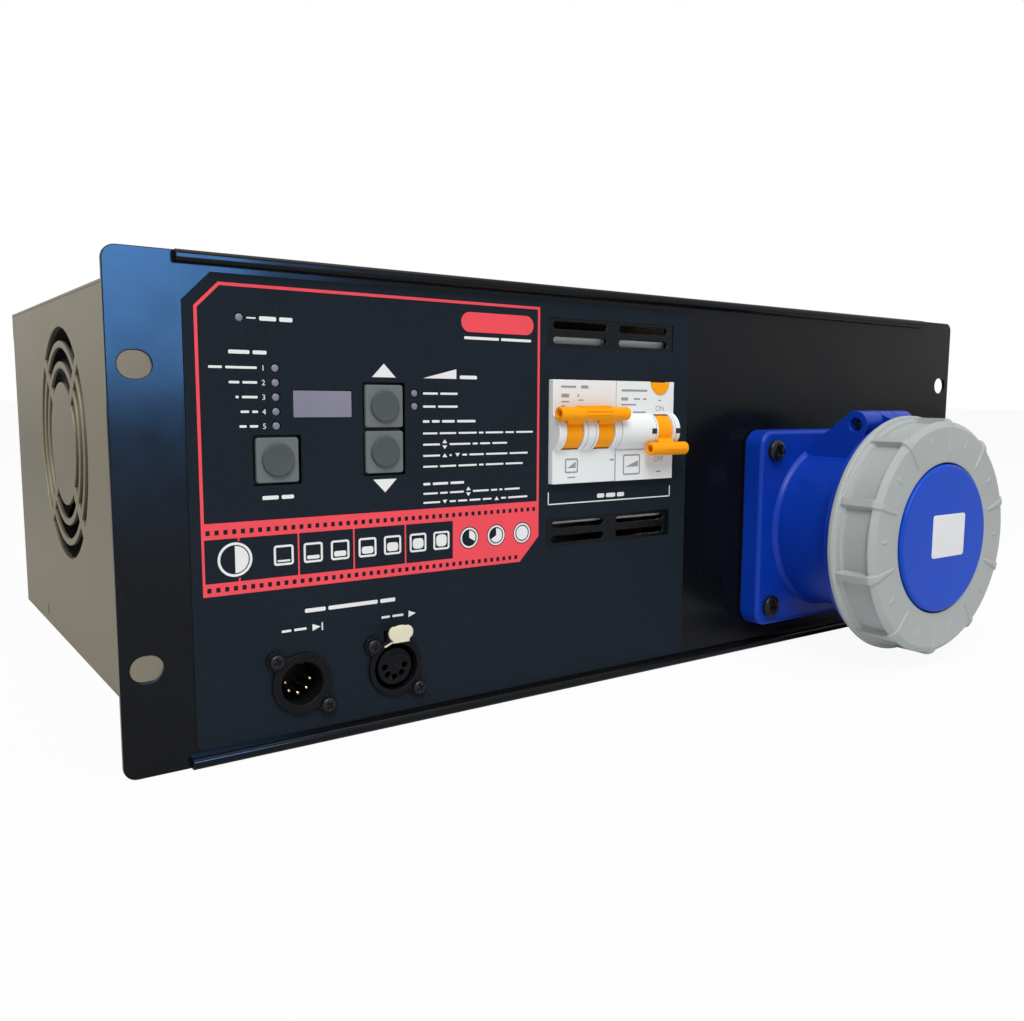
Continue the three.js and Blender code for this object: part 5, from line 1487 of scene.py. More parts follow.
@dataclass
class ControlConnectors:
    """The two data connectors, their screws and the latch."""

    shop: Workshop
    face: float = -2.0
    front: float = -1.2
    step: float = 14.0
    rear: float = 22.0
    flange: float = 11.4
    ear: float = 3.6
    base: float = 9.2
    barrel: float = 10.6
    inlet_bore: float = 8.05
    inlet_ring: float = 4.9
    outlet_ring: float = 4.3

    def flange_outline(self, spot: Pair) -> Outline:
        """Draws the flange's outline: a disc joined with an arm to each screw.

        At each angle the radius is the larger of the disc's and the arm's round end, which is
        d cos f + sqrt(e^2 - d^2 sin^2 f) at an angle f from the screw.

        Args:
            spot: Middle of the connector.

        Returns:
            The outline.
        """
        angle = np.radians(np.arange(0.0, 360.0, 1.5))
        distance = FRONT.screw_offset * math.sqrt(2.0)
        radius = np.full_like(angle, self.flange)
        for way in (135.0, 315.0):
            off = np.abs((angle - math.radians(way) + math.pi) % FULL_TURN - math.pi)
            inner = self.ear**2 - (distance * np.sin(off)) ** 2
            end = distance * np.cos(off) + np.sqrt(np.maximum(inner, 0.0))
            radius = np.maximum(radius, np.where((inner > 0.0) & (off < 1.0), end, 0.0))
        return np.stack([spot[0] + radius * np.cos(angle), spot[1] + radius * np.sin(angle)], axis=-1)

    def contacts(self, spot: Pair, ring: float) -> Outline:
        """Returns the five contact places on the lower half of a circle."""
        return arc(spot, ring, 0.0, -180.0, 4)

    def shell(self, spot: Pair, bore: float) -> list[Shell]:
        """Makes a connector's flange and the barrel behind it.

        Args:
            spot: Middle of the connector.
            bore: Radius of the opening in front.

        Returns:
            The flange and the barrel.
        """
        step = FRONT.screw_offset
        spots = [(spot[0] - way * step, spot[1] + way * step) for way in (1, -1)]
        holes = [circle(*spot, bore, 64), *[circle(*screw, FRONT.screw_hole, 16) for screw in spots]]
        flange = plate(self.flange_outline(spot), holes, Axis.Y, self.face, -0.5, 0.45, 0.0, 4)
        throat = [(self.base, self.front)]
        if bore < self.base:
            throat = [(bore, self.front), (bore, self.step), (self.base, self.step)]
        profile = [*throat, (self.base, self.rear), (self.barrel, self.rear), (self.barrel, self.front)]
        return [flange, lathe(profile, Axis.Y, spot, 72, closed=True)]

    def inlet(self) -> None:
        """Makes the inlet: shell with a guide rib, dark base and five gilt pins."""
        x, z = spot = FRONT.dmx_in
        rib = brick((x - 1.0, x + 1.0), (-1.0, 13.0), (z + 7.2, z + 8.3), 0.3)
        shells = [*self.shell(spot, self.inlet_bore), rib]
        self.shop.piece("inlet_shell", shells, CONNECTOR_BLACK, "dmx_in_shell")
        base = lathe([(0.0, 14.3), (8.6, 14.3), (8.9, 14.6), (8.9, self.rear)], Axis.Y, spot, 64)
        self.shop.piece("inlet_base", [base], CONNECTOR_BLACK, "dmx_in_insert")
        pin = [(0.0, 3.0), (0.35, 3.05), (0.65, 3.35), (0.75, 3.8), (0.75, 26.8), (0.6, 27.0)]
        pins = [lathe(pin, Axis.Y, where, 20) for where in self.contacts(spot, self.inlet_ring)]
        self.shop.piece("inlet_pins", pins, GOLD_PIN)

    def outlet(self) -> None:
        """Makes the through connector: shell, latch ridge, and a face with five holes."""
        x, z = spot = FRONT.dmx_thru
        ridge = [
            brick((x - 4.2, x + 4.2), (-2.0, 14.0), (z + 12.6, z + 14.3), 0.3),
            brick((x - 4.2, x - 2.9), (-2.0, 14.0), (z + 9.4, z + 13.0), 0.3),
            brick((x + 2.9, x + 4.2), (-2.0, 14.0), (z + 9.4, z + 13.0), 0.3),
        ]
        shells = [*self.shell(spot, self.base), *ridge]
        self.shop.piece("outlet_shell", shells, CONNECTOR_BLACK, "dmx_thru_shell")
        spots = self.contacts(spot, self.outlet_ring)
        holes = [circle(*hole, 1.25, 24) for hole in spots]
        nose = plate(circle(*spot, 7.4, 72), holes, Axis.Y, -0.5, 8.0, 0.35, 0.0, 3)
        core = [(0.0, 8.0), (7.4, 8.0), (7.4, 14.3), (8.9, 14.3), (8.9, self.rear)]
        shells = [nose, lathe(core, Axis.Y, spot, 64)]
        self.shop.piece("outlet_face", shells, CONNECTOR_BLACK, "dmx_thru_insert")
        tails = [lathe([(0.75, 21.5), (0.75, 26.8), (0.6, 27.0)], Axis.Y, hole, 16) for hole in spots]
        self.shop.piece("outlet_tails", tails, GOLD_PIN)

    def latch(self) -> None:
        """Makes the latch: a bean-shaped tab over a narrower neck, with its arm and its spring."""
        x, z = FRONT.dmx_thru[0], FRONT.dmx_thru[1] + 14.2
        tab = np.vstack(
            [
                arc((2.3, 0.4), 2.9, -40.0, 70.0, 12),
                arc((0.0, -4.6), 8.0, 72.0, 108.0, 10),
                arc((-2.3, 0.4), 2.9, 110.0, 220.0, 12),
                polygon((-3.6, -2.2), (-3.6, -3.4), (3.6, -3.4), (3.6, -2.2)),
            ]
        )
        head = plate(tab + (x, z), [], Axis.Y, -6.4, -5.2, 0.35, 0.2, 4)
        arm = brick((x - 2.5, x + 2.5), (-5.6, 9.0), (z - 3.3, z - 2.1), 0.2)
        self.shop.piece("latch_tab", [head, arm], LATCH_NICKEL, "dmx_thru_latch", "thru_latch")
        outline = polygon((-6.6, -4.4), (-6.3, -4.9), (-2.4, -3.2), (-2.6, -2.7)) + (x, z)
        strip = plate(outline, [], Axis.Y, -5.0, -4.5)
        self.shop.piece("latch_spring", [strip], LATCH_NICKEL, None, "thru_latch")

    def screws(self) -> None:
        """Makes the four connector screws, each with its cross at its own angle."""
        for k, spot in enumerate(FRONT.connector_screws()):
            head = pan_head(spot, self.face, 2.67, 1.8, 18.0 + 31.0 * k)
            parts = [head, shank(spot, 1.5, self.face + 0.2, 6.0)]
            self.shop.piece(f"connector_screw_{k + 1}", parts, SCREW_BLACK, f"dmx_screw_{k + 1}")

    def build(self) -> None:
        """Builds both connectors."""
        self.inlet()
        self.outlet()
        self.latch()
        self.screws()


# Grey dashes on the breakers: left and right end, middle and height.
BREAKER_ROWS = (
    (-61.5, -53.4, 134.6, 0.9),
    (-50.6, -46.6, 134.6, 1.3),
    (-61.3, -57.2, 130.8, 1.6),
    (-61.3, -57.2, 128.2, 0.6),
    (-61.3, -59.2, 126.4, 0.6),
    (-52.6, -51.8, 130.9, 1.2),
    (-52.0, -49.2, 128.9, 0.5),
    (-27.4, -11.8, 133.4, 1.0),
    (-27.4, -23.4, 129.6, 1.4),
    (-20.0, -16.2, 129.6, 0.8),
    (-14.4, -12.2, 129.6, 0.8),
    (-27.4, -18.4, 127.0, 0.7),
    (-20.4, -12.6, 123.6, 0.7),
    (-57.6, -53.2, 95.3, 0.6),
    (-33.7, -31.2, 102.4, 0.8),
    (-5.4, -2.4, 96.0, 0.6),
    (-5.0, -2.8, 129.0, 0.5),
    (-30.0, -12.9, 106.6, 0.28),
    (-30.42, -30.2, 98.9, 12.0),
)
# Plain frames with a ramp in each: middle and whole size.
BREAKER_FRAMES = ((-55.4, 100.4, 7.2, 6.4), (-20.6, 99.8, 10.4, 9.4))


@dataclass
class Breakers:
    """The circuit breaker and the residual-current device with their toggles and grey marks."""

    shop: Workshop
    module: float = 17.625
    face: float = -3.2
    mark_proud: float = 0.04
    mark_sunk: float = 0.1
    drum: Pair = (0.37, 115.1)
    drum_radius: float = 8.67
    reach: float = 12.44
    band: float = 7.75
    band_width: float = 8.9
    bar_radius: float = 3.0
    pair_bar: float = 38.0
    solo_bar: float = 22.4
    angle: float = 40.3
    wrap: float = 120.0
    word_x: float = -3.9
    word_size: float = 2.4
    seams: tuple[float, ...] = (-50.2, -45.8, -9.9, 2.1)
    seal_offset: float = 7.4

    def across(self, modules: float) -> float:
        """Returns the X that lies so many modules from the row's left end."""
        return FRONT.breaker_x[0] + modules * self.module

    def bar_place(self, angle: float) -> np.ndarray:
        """Returns Y and Z of a toggle's bar at an angle above level in degrees."""
        a = math.radians(angle)
        return np.array(self.drum) + self.reach * np.array([-math.cos(a), math.sin(a)])

    def toggle(
        self, bands: Sequence[float], middle: float, length: float, angle: float
    ) -> list[Shell]:
        """Makes a toggle: round bands, an arm to each, a shaft, and a bar with open ends.

        Args:
            bands: X of each band's middle.
            middle: X of the bar's middle.
            length: Length of the bar.
            angle: Angle above level in degrees.

        Returns:
            The shells.
        """
        centre, bar = np.array(self.drum), self.bar_place(angle)
        a = math.radians(angle)
        thick = 2 * np.array([math.sin(a), math.cos(a)])
        start, end = middle - length / 2, middle + length / 2
        r = self.bar_radius
        mouth = [(0.0, 5.0), (1.75, 5.0), (1.75, 0.2), (1.95, 0.0)]
        mouth += [(r - 0.5, 0.0), (r - 0.15, 0.12), (r, 0.5)]
        profile = [(q, start + d) for q, d in mouth] + [(q, end - d) for q, d in mouth[::-1]]
        shells = [lathe(profile, Axis.X, tuple(bar), 40)]
        half, level = self.band_width / 2, 180.0 - angle
        pie = np.vstack([centre, arc(self.drum, self.band, level - self.wrap, level + self.wrap, 64)])
        arm = np.stack([centre + thick, bar + thick, bar - thick, centre - thick])
        for x in bands:
            shells += [plate(form, [], Axis.X, x - half, x + half, 0.3, 0.3, 3) for form in (pie, arm)]
        first, last = min(bands) - half - 1.6, max(bands) + half + 1.6
        shells.append(lathe([(2.4, first), (2.4, last)], Axis.X, self.drum, 24))
        return shells

    def mark(self, outline: Outline, *holes: Outline) -> Shell:
        """Makes a thin printed area on the breakers' face."""
        return plate(outline, holes, Axis.Y, self.face - self.mark_proud, self.face + self.mark_sunk)

    def marks(self) -> list[Shell]:
        """Makes the grey marks: dashes, the words at the single toggle, frames and seam lines.

        A seam is an arc on the drum: 0.02 mm proud of it and 0.2 mm into it.

        Returns:
            The shells.
        """
        shells: list[Shell] = []
        for x0, x1, z, height in BREAKER_ROWS:
            corner = 0.3 * min(height, x1 - x0, 0.4)
            shells.append(self.mark(rounded_rect((x0 + x1) / 2, z, x1 - x0, height, corner, 1)))
        for word, z in (("ON", 125.4), ("OFF", 101.9)):
            near, far = self.face - self.mark_proud, self.face + self.mark_sunk
            shells.append(characters(word, self.word_x, z, self.word_size, near, far))
        for x, z, width, height in BREAKER_FRAMES:
            frame = wound(rounded_rect(x, z, width, height, 0.9, 3))
            left, right = x - width / 2 + 1.3, x + width / 2 - 1.3
            ramp = polygon((left, z - 1.0), (right, z - 1.0), (right, z + 1.8))
            shells += [self.mark(frame, inset(frame, 0.7)), self.mark(ramp)]
        outer = arc(self.drum, self.drum_radius + 0.02, 116.0, 244.0, 32)
        inner = arc(self.drum, self.drum_radius - 0.2, 244.0, 116.0, 32)
        line = np.vstack([outer, inner])
        return shells + [plate(line, [], Axis.X, x - 0.13, x + 0.13) for x in self.seams]

    def seals(self) -> list[Shell]:
        """Makes dark blocks in the mouths of the two small seal holes beside the single toggle, as
        painted shade for the holes' depth.

        Returns:
            The shells.
        """
        (y, z), solo = self.drum, self.across(3.5)
        front = y - self.drum_radius
        return [
            brick((x - 1.5, x + 1.5), (front - 0.02, front + 0.8), (z - 1.2, z + 1.2), 0.1)
            for x in (solo - self.seal_offset, solo + self.seal_offset)
        ]

    def build(self) -> None:
        """Builds the breakers."""
        shop = self.shop
        shop.softened("breaker_case", "mcb_body", BREAKER_WHITE, 0.35)
        shop.softened("residual_case", "rcd_body", BREAKER_WHITE, 0.35)
        x = self.across(1.0)
        y, z = self.bar_place(self.angle)
        pair = [
            *self.toggle([self.across(0.5), self.across(1.5)], x, self.pair_bar, self.angle),
            brick((x - 8.5, x + 8.5), (y - 2.1, y + 2.1), (z + 1.5, z + 3.55), 0.5),
            brick((x - 6.0, x + 8.5), (y - 3.25, y - 1.5), (z - 0.6, z + 0.1), 0.2),
            brick((x - 6.0, x + 8.5), (y - 3.2, y - 1.5), (z + 0.9, z + 1.5), 0.2),
        ]
        shop.piece("pair_toggle", pair, BREAKER_ORANGE, "mcb_toggle", "mcb_lever")
        x = self.across(3.5)
        y, z = self.bar_place(-self.angle)
        ridge = brick((x - 5.0, x + 9.5), (y - 3.2, y - 1.5), (z - 0.4, z + 0.3), 0.2)
        solo = [*self.toggle([x], x, self.solo_bar, -self.angle), ridge]
        shop.piece("solo_toggle", solo, BREAKER_ORANGE, "rcd_toggle", "rcd_lever")
        button = plate(arc((x, 137.2), 5.5, 180.0, 360.0, 32), [], Axis.Y, -3.8, 1.0, 0.45, 0.0, 4)
        shop.piece("test_push", [button], BREAKER_ORANGE, "rcd_test_button", "test_key")
        shop.piece("breaker_marks", self.marks(), PRINT_GREY)
        # Dark blocks in the seal holes stand in for the shade inside them: painted shade.
        shop.piece("seal_hole_shade", self.seals(), DARK_PLASTIC)
        shop.dress(STEEL_PLATE, "din_rail", "rail_bracket")


@dataclass
class SocketOutlet:
    """The blue outlet: gasket, flange, barrel with its hinge eyes, insert and screws."""

    shop: Workshop
    width: float = 107.0
    height: float = 100.0
    corner: float = 8.0
    front: float = -12.5
    seat: float = -1.0
    eye: float = 7.0
    outer_eye: float = 20.0
    inner_eye: float = 6.0
    head_depth: float = 3.0
    cam_radii: Pair = (36.4, 39.5)
    cam_half: float = 14.5
    cam_span: Pair = (-66.0, -62.0)

    def barrel(self) -> Shell:
        """Turns the barrel: a tube with a stepped mouth, a foot ring and a rear wall.

        Returns:
            The barrel.
        """
        mouth = [(34.5, 16.0), (34.5, -71.4), (35.1, -72.0), (37.4, -72.0), (38.0, -71.4)]
        tube = [(38.0, -50.2), (41.2, -49.5), (42.0, -48.7), (42.0, -15.4), (42.3, -14.3)]
        foot = [(43.0, -13.3), (44.3, -12.3), (44.3, -11.0), (42.0, -11.0)]
        foot += [(42.0, 20.0), (22.0, 20.0), (22.0, 16.0)]
        return lathe([*mouth, *tube, *foot], Axis.Y, FRONT.socket, 144, closed=True)

    def eyes(self) -> list[Shell]:
        """Makes both hinge eyes with their gussets; the left one has a recess for the pin's head.

        Returns:
            The shells, the left eye in two layers.
        """
        foot = polygon((-10.5, 97.0), (-10.5, 105.0), (-12.5, 105.0))
        outline = np.vstack([foot, arc(LID_HINGE, self.eye, 56.5, 216.9, 40), polygon((-43.4, 97.0))])
        recess, bore = circle(*LID_HINGE, 3.4, 40), circle(*LID_HINGE, 2.3, 40)
        x, near, far = FRONT.socket[0], self.inner_eye, self.outer_eye
        step = x - far + self.head_depth
        return [
            plate(outline, [recess], Axis.X, x - far, step, 0.5, 0.0, 4),
            plate(outline, [bore], Axis.X, step, x - near, 0.0, 0.5, 4),
            plate(outline, [bore], Axis.X, x + near, x + far, 0.5, 0.5, 4),
        ]

    def cam(self, way: float) -> Shell:
        """Makes a bayonet cam on the mouth.

        Args:
            way: The angle of its middle in degrees.

        Returns:
            The cam.
        """
        (low, high), half = self.cam_radii, self.cam_half
        outer = arc(FRONT.socket, high, way - half, way + half, 16)
        inner = arc(FRONT.socket, low, way + half, way - half, 16)
        return plate(np.vstack([outer, inner]), [], Axis.Y, *self.cam_span, 0.3, 0.3, 3)

    def build(self) -> None:
        """Builds the outlet's fixed pieces."""
        shop, (x, z), screws = self.shop, FRONT.socket, FRONT.socket_screws()
        gasket = rounded_rect(x, z, self.width - 2.0, self.height - 2.0, self.corner - 1.0)
        shells = [plate(gasket, FRONT.socket_holes(), Axis.Y, self.seat, 0.0)]
        shop.piece("outlet_gasket", shells, GASKET_RUBBER, "socket_gasket")
        outline = rounded_rect(x, z, self.width, self.height, self.corner, 12)
        holes = [circle(x, z, 38.0, 96), *[circle(*spot, 2.9, 24) for spot in screws]]
        flange = plate(outline, holes, Axis.Y, self.front, self.seat, 2.4, 0.5, 6)
        shells = [flange, self.barrel(), *self.eyes(), self.cam(0.0), self.cam(180.0)]
        shop.piece("outlet_housing", shells, SOCKET_BLUE, "socket_housing")
        low, high = x - self.outer_eye + 1.5, x + self.outer_eye - 1.5
        rod = [(0.0, low), (1.4, low + 0.05), (2.0, low + 0.6), (2.0, high - 0.5), (1.5, high)]
        shop.piece("hinge_rod", [lathe(rod, Axis.X, LID_HINGE, 32)], SCREW_BLACK, "hinge_pin")
        for k, spot in enumerate(screws):
            head = pan_head(spot, self.front, 5.3, 3.6, 12.0 + 27.0 * k)
            parts = [head, shank(spot, 2.5, self.front + 0.3, 7.5)]
            shop.piece(f"outlet_screw_{k + 1}", parts, SCREW_BLACK, f"socket_screw_{k + 1}")
        shop.dress(DARK_PLASTIC, "socket_insert")
        shop.dress(GOLD_PIN, "socket_contact_1", "socket_contact_2", "socket_contact_3")


def fade(value: Points, edge: float, soft: float) -> Points:
    """Returns 1 below an edge and 0 above it, with a straight ramp of a given width between."""
    return np.clip((edge - value) / soft + 0.5, 0.0, 1.0)


@dataclass
class OutletLid:
    """The hinged lid: bracket, blue disc and bare label, inside a ribbed bayonet ring."""

    shop: Workshop
    inner: float = 49.2
    lip: float = 58.2
    rim: float = 56.0
    pocket: float = 54.4
    rib_proud: float = 1.4
    face: float = -80.0
    face_edge: float = 53.3
    face_hole: float = 36.5
    face_thick: float = 3.8
    ribs: int = 10
    first_rib: float = 88.0
    rib_half: float = 2.0
    sides: int = 1080
    knuckle: float = 5.5
    label_middle: Pair = (2.4, 1.4)
    label_size: Pair = (27.0, 20.6)

    def bracket(self) -> list[Shell]:
        """Makes the bracket: ring plate with its sleeve, knuckle and strap.

        Returns:
            The shells.
        """
        x, half = FRONT.socket[0], self.knuckle
        low, high = x - half, x + half
        ends = (2.3, 0.0), (6.6, 0.0), (7.0, 0.4)
        ring = [(44.5, -52.5), (54.8, -52.5), (55.3, -53.0), (55.3, -56.0), (54.8, -56.5)]
        sleeve = [(48.5, -56.5), (48.5, -72.0), (48.2, -72.3), (44.5, -72.3)]
        knuckle = [(r, low + d) for r, d in ends] + [(r, high - d) for r, d in ends[::-1]]
        lower = polygon((-56.5, 113.0), (-52.5, 113.0), (-42.0, 111.35))
        upper = polygon((-42.0, 124.65), (-56.5, 119.8))
        strap = np.vstack([lower, arc(LID_HINGE, 4.0, 270.0, 90.0, 16), upper])
        return [
            lathe(ring + sleeve, Axis.Y, FRONT.socket, 144, closed=True),
            lathe(knuckle, Axis.X, LID_HINGE, 64, closed=True),
            plate(strap, [], Axis.X, low, high, 0.4, 0.4, 3),
        ]

    def disc(self) -> Shell:
        """Turns the disc: a flange behind the ring's face and a raised face with a rounded edge.

        Returns:
            The disc.
        """
        flange = [(0.0, -72.6), (48.5, -72.6), (48.5, -75.5), (35.7, -75.5), (35.7, -79.9)]
        edge = [(35.55, -80.6), (35.1, -81.15), (34.5, -81.42), (33.8, -81.5), (0.0, -81.5)]
        return lathe(flange + edge, Axis.Y, FRONT.socket, 144)

    def ring(self) -> Shell:
        """Makes the bayonet ring on a polar grid.

        With m(t) = 1 on a rib and 0 between ribs, the rim's radius is
        R(y, t) = 56 - 1.6 p(y) (1 - m) + 1.4 e(y) m, where p is 1 inside the pockets and e is 1
        between the lip and the face; the face lies at y(r, t) = -80 - 0.7 f(r) m - 0.45 k(r, t),
        where f fades the rib out towards the middle and k marks the short ticks.

        Returns:
            The closed shell.
        """
        angle = full_circle(self.sides)
        pitch = FULL_TURN / self.ribs
        turned = angle - math.radians(self.first_rib)
        phase = np.abs((turned + pitch / 2) % pitch - pitch / 2)
        tick_phase = np.abs(turned % pitch - pitch / 2)
        rib = fade(phase * self.rim, self.rib_half, 0.7)
        lip, rim = self.lip, self.rim
        rows = [
            (self.inner, -57.0, 0.0, 0.0),
            (lip - 1.0, -57.0, 0.0, 0.0),
            (lip - 0.3, -57.2, 0.0, 0.0),
            (lip, -57.8, 0.0, 0.0),
            (lip, -59.2, 0.0, 0.0),
            (lip - 0.5, -60.0, 0.0, 0.0),
            (56.4, -60.6, 0.0, 0.4),
            (56.05, -61.3, 0.0, 1.0),
            *[(rim, y, p, 1.0) for y, p in ((-62.4, 0.0), (-62.8, 0.15), (-63.2, 0.9), (-63.7, 1.0))],
            *[(rim, y, p, 1.0) for y, p in ((-75.9, 1.0), (-76.4, 0.9), (-76.8, 0.15), (-77.2, 0.0))],
            (rim - 0.1, -77.8, 0.0, 1.0),
            (rim - 0.8, -78.6, 0.0, 0.9),
            (self.face_edge + 0.7, -79.6, 0.0, 0.6),
        ]
        start, along, deep, raised = (column[:, None] for column in np.array(rows).T)
        radii = [start - (rim - self.pocket) * deep * (1.0 - rib) + self.rib_proud * raised * rib]
        alongs = [along - 0.4 * (along < -78.0) * rib]
        runs = ((self.face_edge, 49.6, 6), (49.3, 44.7, 14), (44.2, 40.4, 7))
        run = np.concatenate([*[np.linspace(*ends) for ends in runs], [39.0, 37.4, 36.9]])[:, None]
        reach = np.clip((run - 40.6) / 1.5, 0.0, 1.0)
        narrow = fade(phase * run, 0.5 + (run - 41.0) / 12.0, 0.6) * reach
        span = np.clip(np.minimum(run - 44.9, 49.2 - run) / 0.5 + 0.5, 0.0, 1.0)
        radii.append(run + 0.0 * rib)
        alongs.append(self.face - 0.7 * narrow - 0.45 * fade(tick_phase * run, 0.7, 0.6) * span)
        back = self.face + self.face_thick
        close = [(self.face_hole + 0.1, self.face + 0.08), (self.face_hole, self.face + 0.4)]
        ends = np.array([*close, (self.face_hole, back), (self.inner, back)])
        radii.append(ends[:, :1] + 0.0 * rib)
        alongs.append(ends[:, 1:] + 0.0 * rib)
        grid = polar(Axis.Y, FRONT.socket, np.vstack(radii), angle, np.vstack(alongs))
        return skin(grid, close_rows=True)

    def build(self) -> None:
        """Builds the lid's moving pieces."""
        shop, lid = self.shop, "socket_lid"
        shop.piece("lid_strap", self.bracket(), SOCKET_BLUE, "lid_bracket", lid)
        shop.piece("lid_face", [self.disc()], DISC_BLUE, "lid_disc", lid)
        x, z = (a + b for a, b in zip(FRONT.socket, self.label_middle))
        label = plate(rounded_rect(x, z, *self.label_size, 1.5), [], Axis.Y, -81.8, -81.5, 0.1, 0.0, 2)
        shop.piece("lid_plate", [label], LABEL_FILM, "lid_label", lid)
        shop.piece("lock_shell", [self.ring()], RING_GREY, "bayonet_ring", "lock_ring", crease=24.0)


@dataclass
class Chassis:
    """The folded tray with its fan grille and vents, the cover, the rear panel and the gland."""

    shop: Workshop
    half_width: float = 221.2
    sheet: float = 1.5
    front: float = 2.0
    rear: float = 339.0
    top: float = 175.1
    flange: float = 12.0
    grille_disc: float = 30.6
    grille_slot: float = 6.8
    grille_ring: float = 3.3
    spoke: float = 5.5
    vent: Pair = (70.0, 3.6)
    vent_pitch: float = 11.0
    vent_z: float = 96.0
    vents: int = 12
    studs: Pair = (52.5, 52.5)
    gland: Pair = (165.0, 118.0)
    dome_root: float = 17.0

    def grille(self) -> list[Outline]:
        """Draws the grille's twelve curved slots, four to a ring, between straight spokes.

        Returns:
            Their outlines.
        """
        slots = []
        for ring in range(3):
            low = self.grille_disc + ring * (self.grille_slot + self.grille_ring)
            high = low + self.grille_slot
            low_trim, high_trim = (math.degrees(math.asin(self.spoke / 2 / r)) for r in (low, high))
            for way in (45.0, 135.0, 225.0, 315.0):
                outer = arc(FAN_CENTRE, high, way + high_trim, way + 90.0 - high_trim, 24)
                inner = arc(FAN_CENTRE, low, way + 90.0 - low_trim, way + low_trim, 24)
                slots.append(np.vstack([outer, inner]))
        return slots

    def exhaust(self) -> list[Outline]:
        """Places the right wall's upright slots side by side about the fan's place.

        Returns:
            The outline of each slot.
        """
        slot, middle = obround(0.0, 0.0, *self.vent, 8)[:, ::-1], (self.vents - 1) / 2
        ys = [FAN_CENTRE[0] + self.vent_pitch * (k - middle) for k in range(self.vents)]
        return [slot + (y, self.vent_z) for y in ys]

    def tray(self) -> list[Shell]:
        """Makes the tray's floor, walls, flanges and the fan's studs.

        Returns:
            The shells.
        """
        w, t, front, rear, top = self.half_width, self.sheet, self.front, self.rear, self.top
        side, small = rect((front, rear), (0.0, top)), rounded_rect(266.0, 8.0, 3.0, 6.0, 0.3, 2)
        across = (-w + 0.4, w - 0.4)
        shells = [
            plate(side, [*self.grille(), small], Axis.X, -w, -w + t, 0.25, 0.2, 2),
            plate(side, self.exhaust(), Axis.X, w - t, w, 0.2, 0.25, 2),
            brick(across, (front, rear), (0.0, t)),
            brick(across, (front, front + t), (0.4, 9.0)),
            brick(across, (rear - t, rear), (0.4, self.flange)),
        ]
        for way in (-1, 1):
            x = sorted((way * (w - self.flange), way * (w - 0.4)))
            shells += [
                brick(x, (front, front + t), (0.4, top - 0.3)),
                brick(x, (rear - t, rear), (0.4, top - 0.3)),
                brick(x, (front, rear), (top - t, top)),
            ]
        stud, spots = [(1.9, -w + 0.8), (1.9, -198.0), (1.6, -197.7)], four(*FAN_CENTRE, *self.studs)
        return shells + [lathe(stud, Axis.X, spot, 16) for spot in spots]

    def grip(self, radius: Points, along: Points, angle: Points) -> Points:
        """Ribs the gland's dome: 0.225 (1 - cos 24 t) comes off its straight part."""
        band = ((along > 350.5) & (along < 359.5) & (radius > 20.0)).astype(float)
        return radius - 0.45 * band * (1.0 - np.cos(24.0 * angle)) / 2

    def cable_gland(self) -> list[Shell]:
        """Turns the gland: its nut's six flats, and a ribbed dome on a polar grid.

        The dome's radius falls from 22.6 to 17 along a quarter of an ellipse:
        R(s) = 17 + 5.6 sqrt(1 - s^2) at the share s of its length.

        Returns:
            The shells.
        """
        bore, hexagon = circle(*self.gland, 13.0, 48), circle(*self.gland, 26.0, 6)
        nut = plate(hexagon, [bore], Axis.Y, 340.8, 349.8, 0.4, 0.4, 3)
        s = np.linspace(0.0, 1.0, 10)
        dome = np.stack([self.dome_root + 5.6 * np.sqrt(1.0 - s**2), 360.5 + 10.3 * s], axis=-1)
        thread = [(13.0, 326.2), (19.6, 326.2), (19.8, 326.6), (19.8, 345.0)]
        collar = [(22.6, 348.0), (22.6, 350.2), (22.9, 351.0), (22.9, 359.0)]
        profile = [*thread, *collar, *dome, (16.6, 371.0), (14.0, 371.0), (13.0, 370.0)]
        return [nut, lathe(profile, Axis.Y, self.gland, 192, closed=True, bend=self.grip)]

    def build(self) -> None:
        """Builds the chassis."""
        shop = self.shop
        shop.piece("tray_sheet", self.tray(), ZINC_SHEET, "chassis_tray")
        shop.softened("cover_sheet", "top_cover", ZINC_SHEET, 0.3)
        shop.softened("rear_sheet", "rear_panel", ZINC_SHEET, 0.2)
        shop.piece("gland_body", self.cable_gland(), GLAND_BLACK, "cable_gland")
        for k, spot in enumerate(((-150.0, 168.6), (150.0, 168.6))):
            head = pan_head(spot, 342.0, 3.1, 2.0, 20.0 + 40.0 * k, 1.0)
            parts = [head, shank(spot, 1.9, 335.0, 341.8)]
            shop.piece(f"rear_screw_{k + 1}", parts, SCREW_BLACK, f"cover_screw_{k + 1}")
        shop.dress(GLAND_BLACK, "gland_nut")


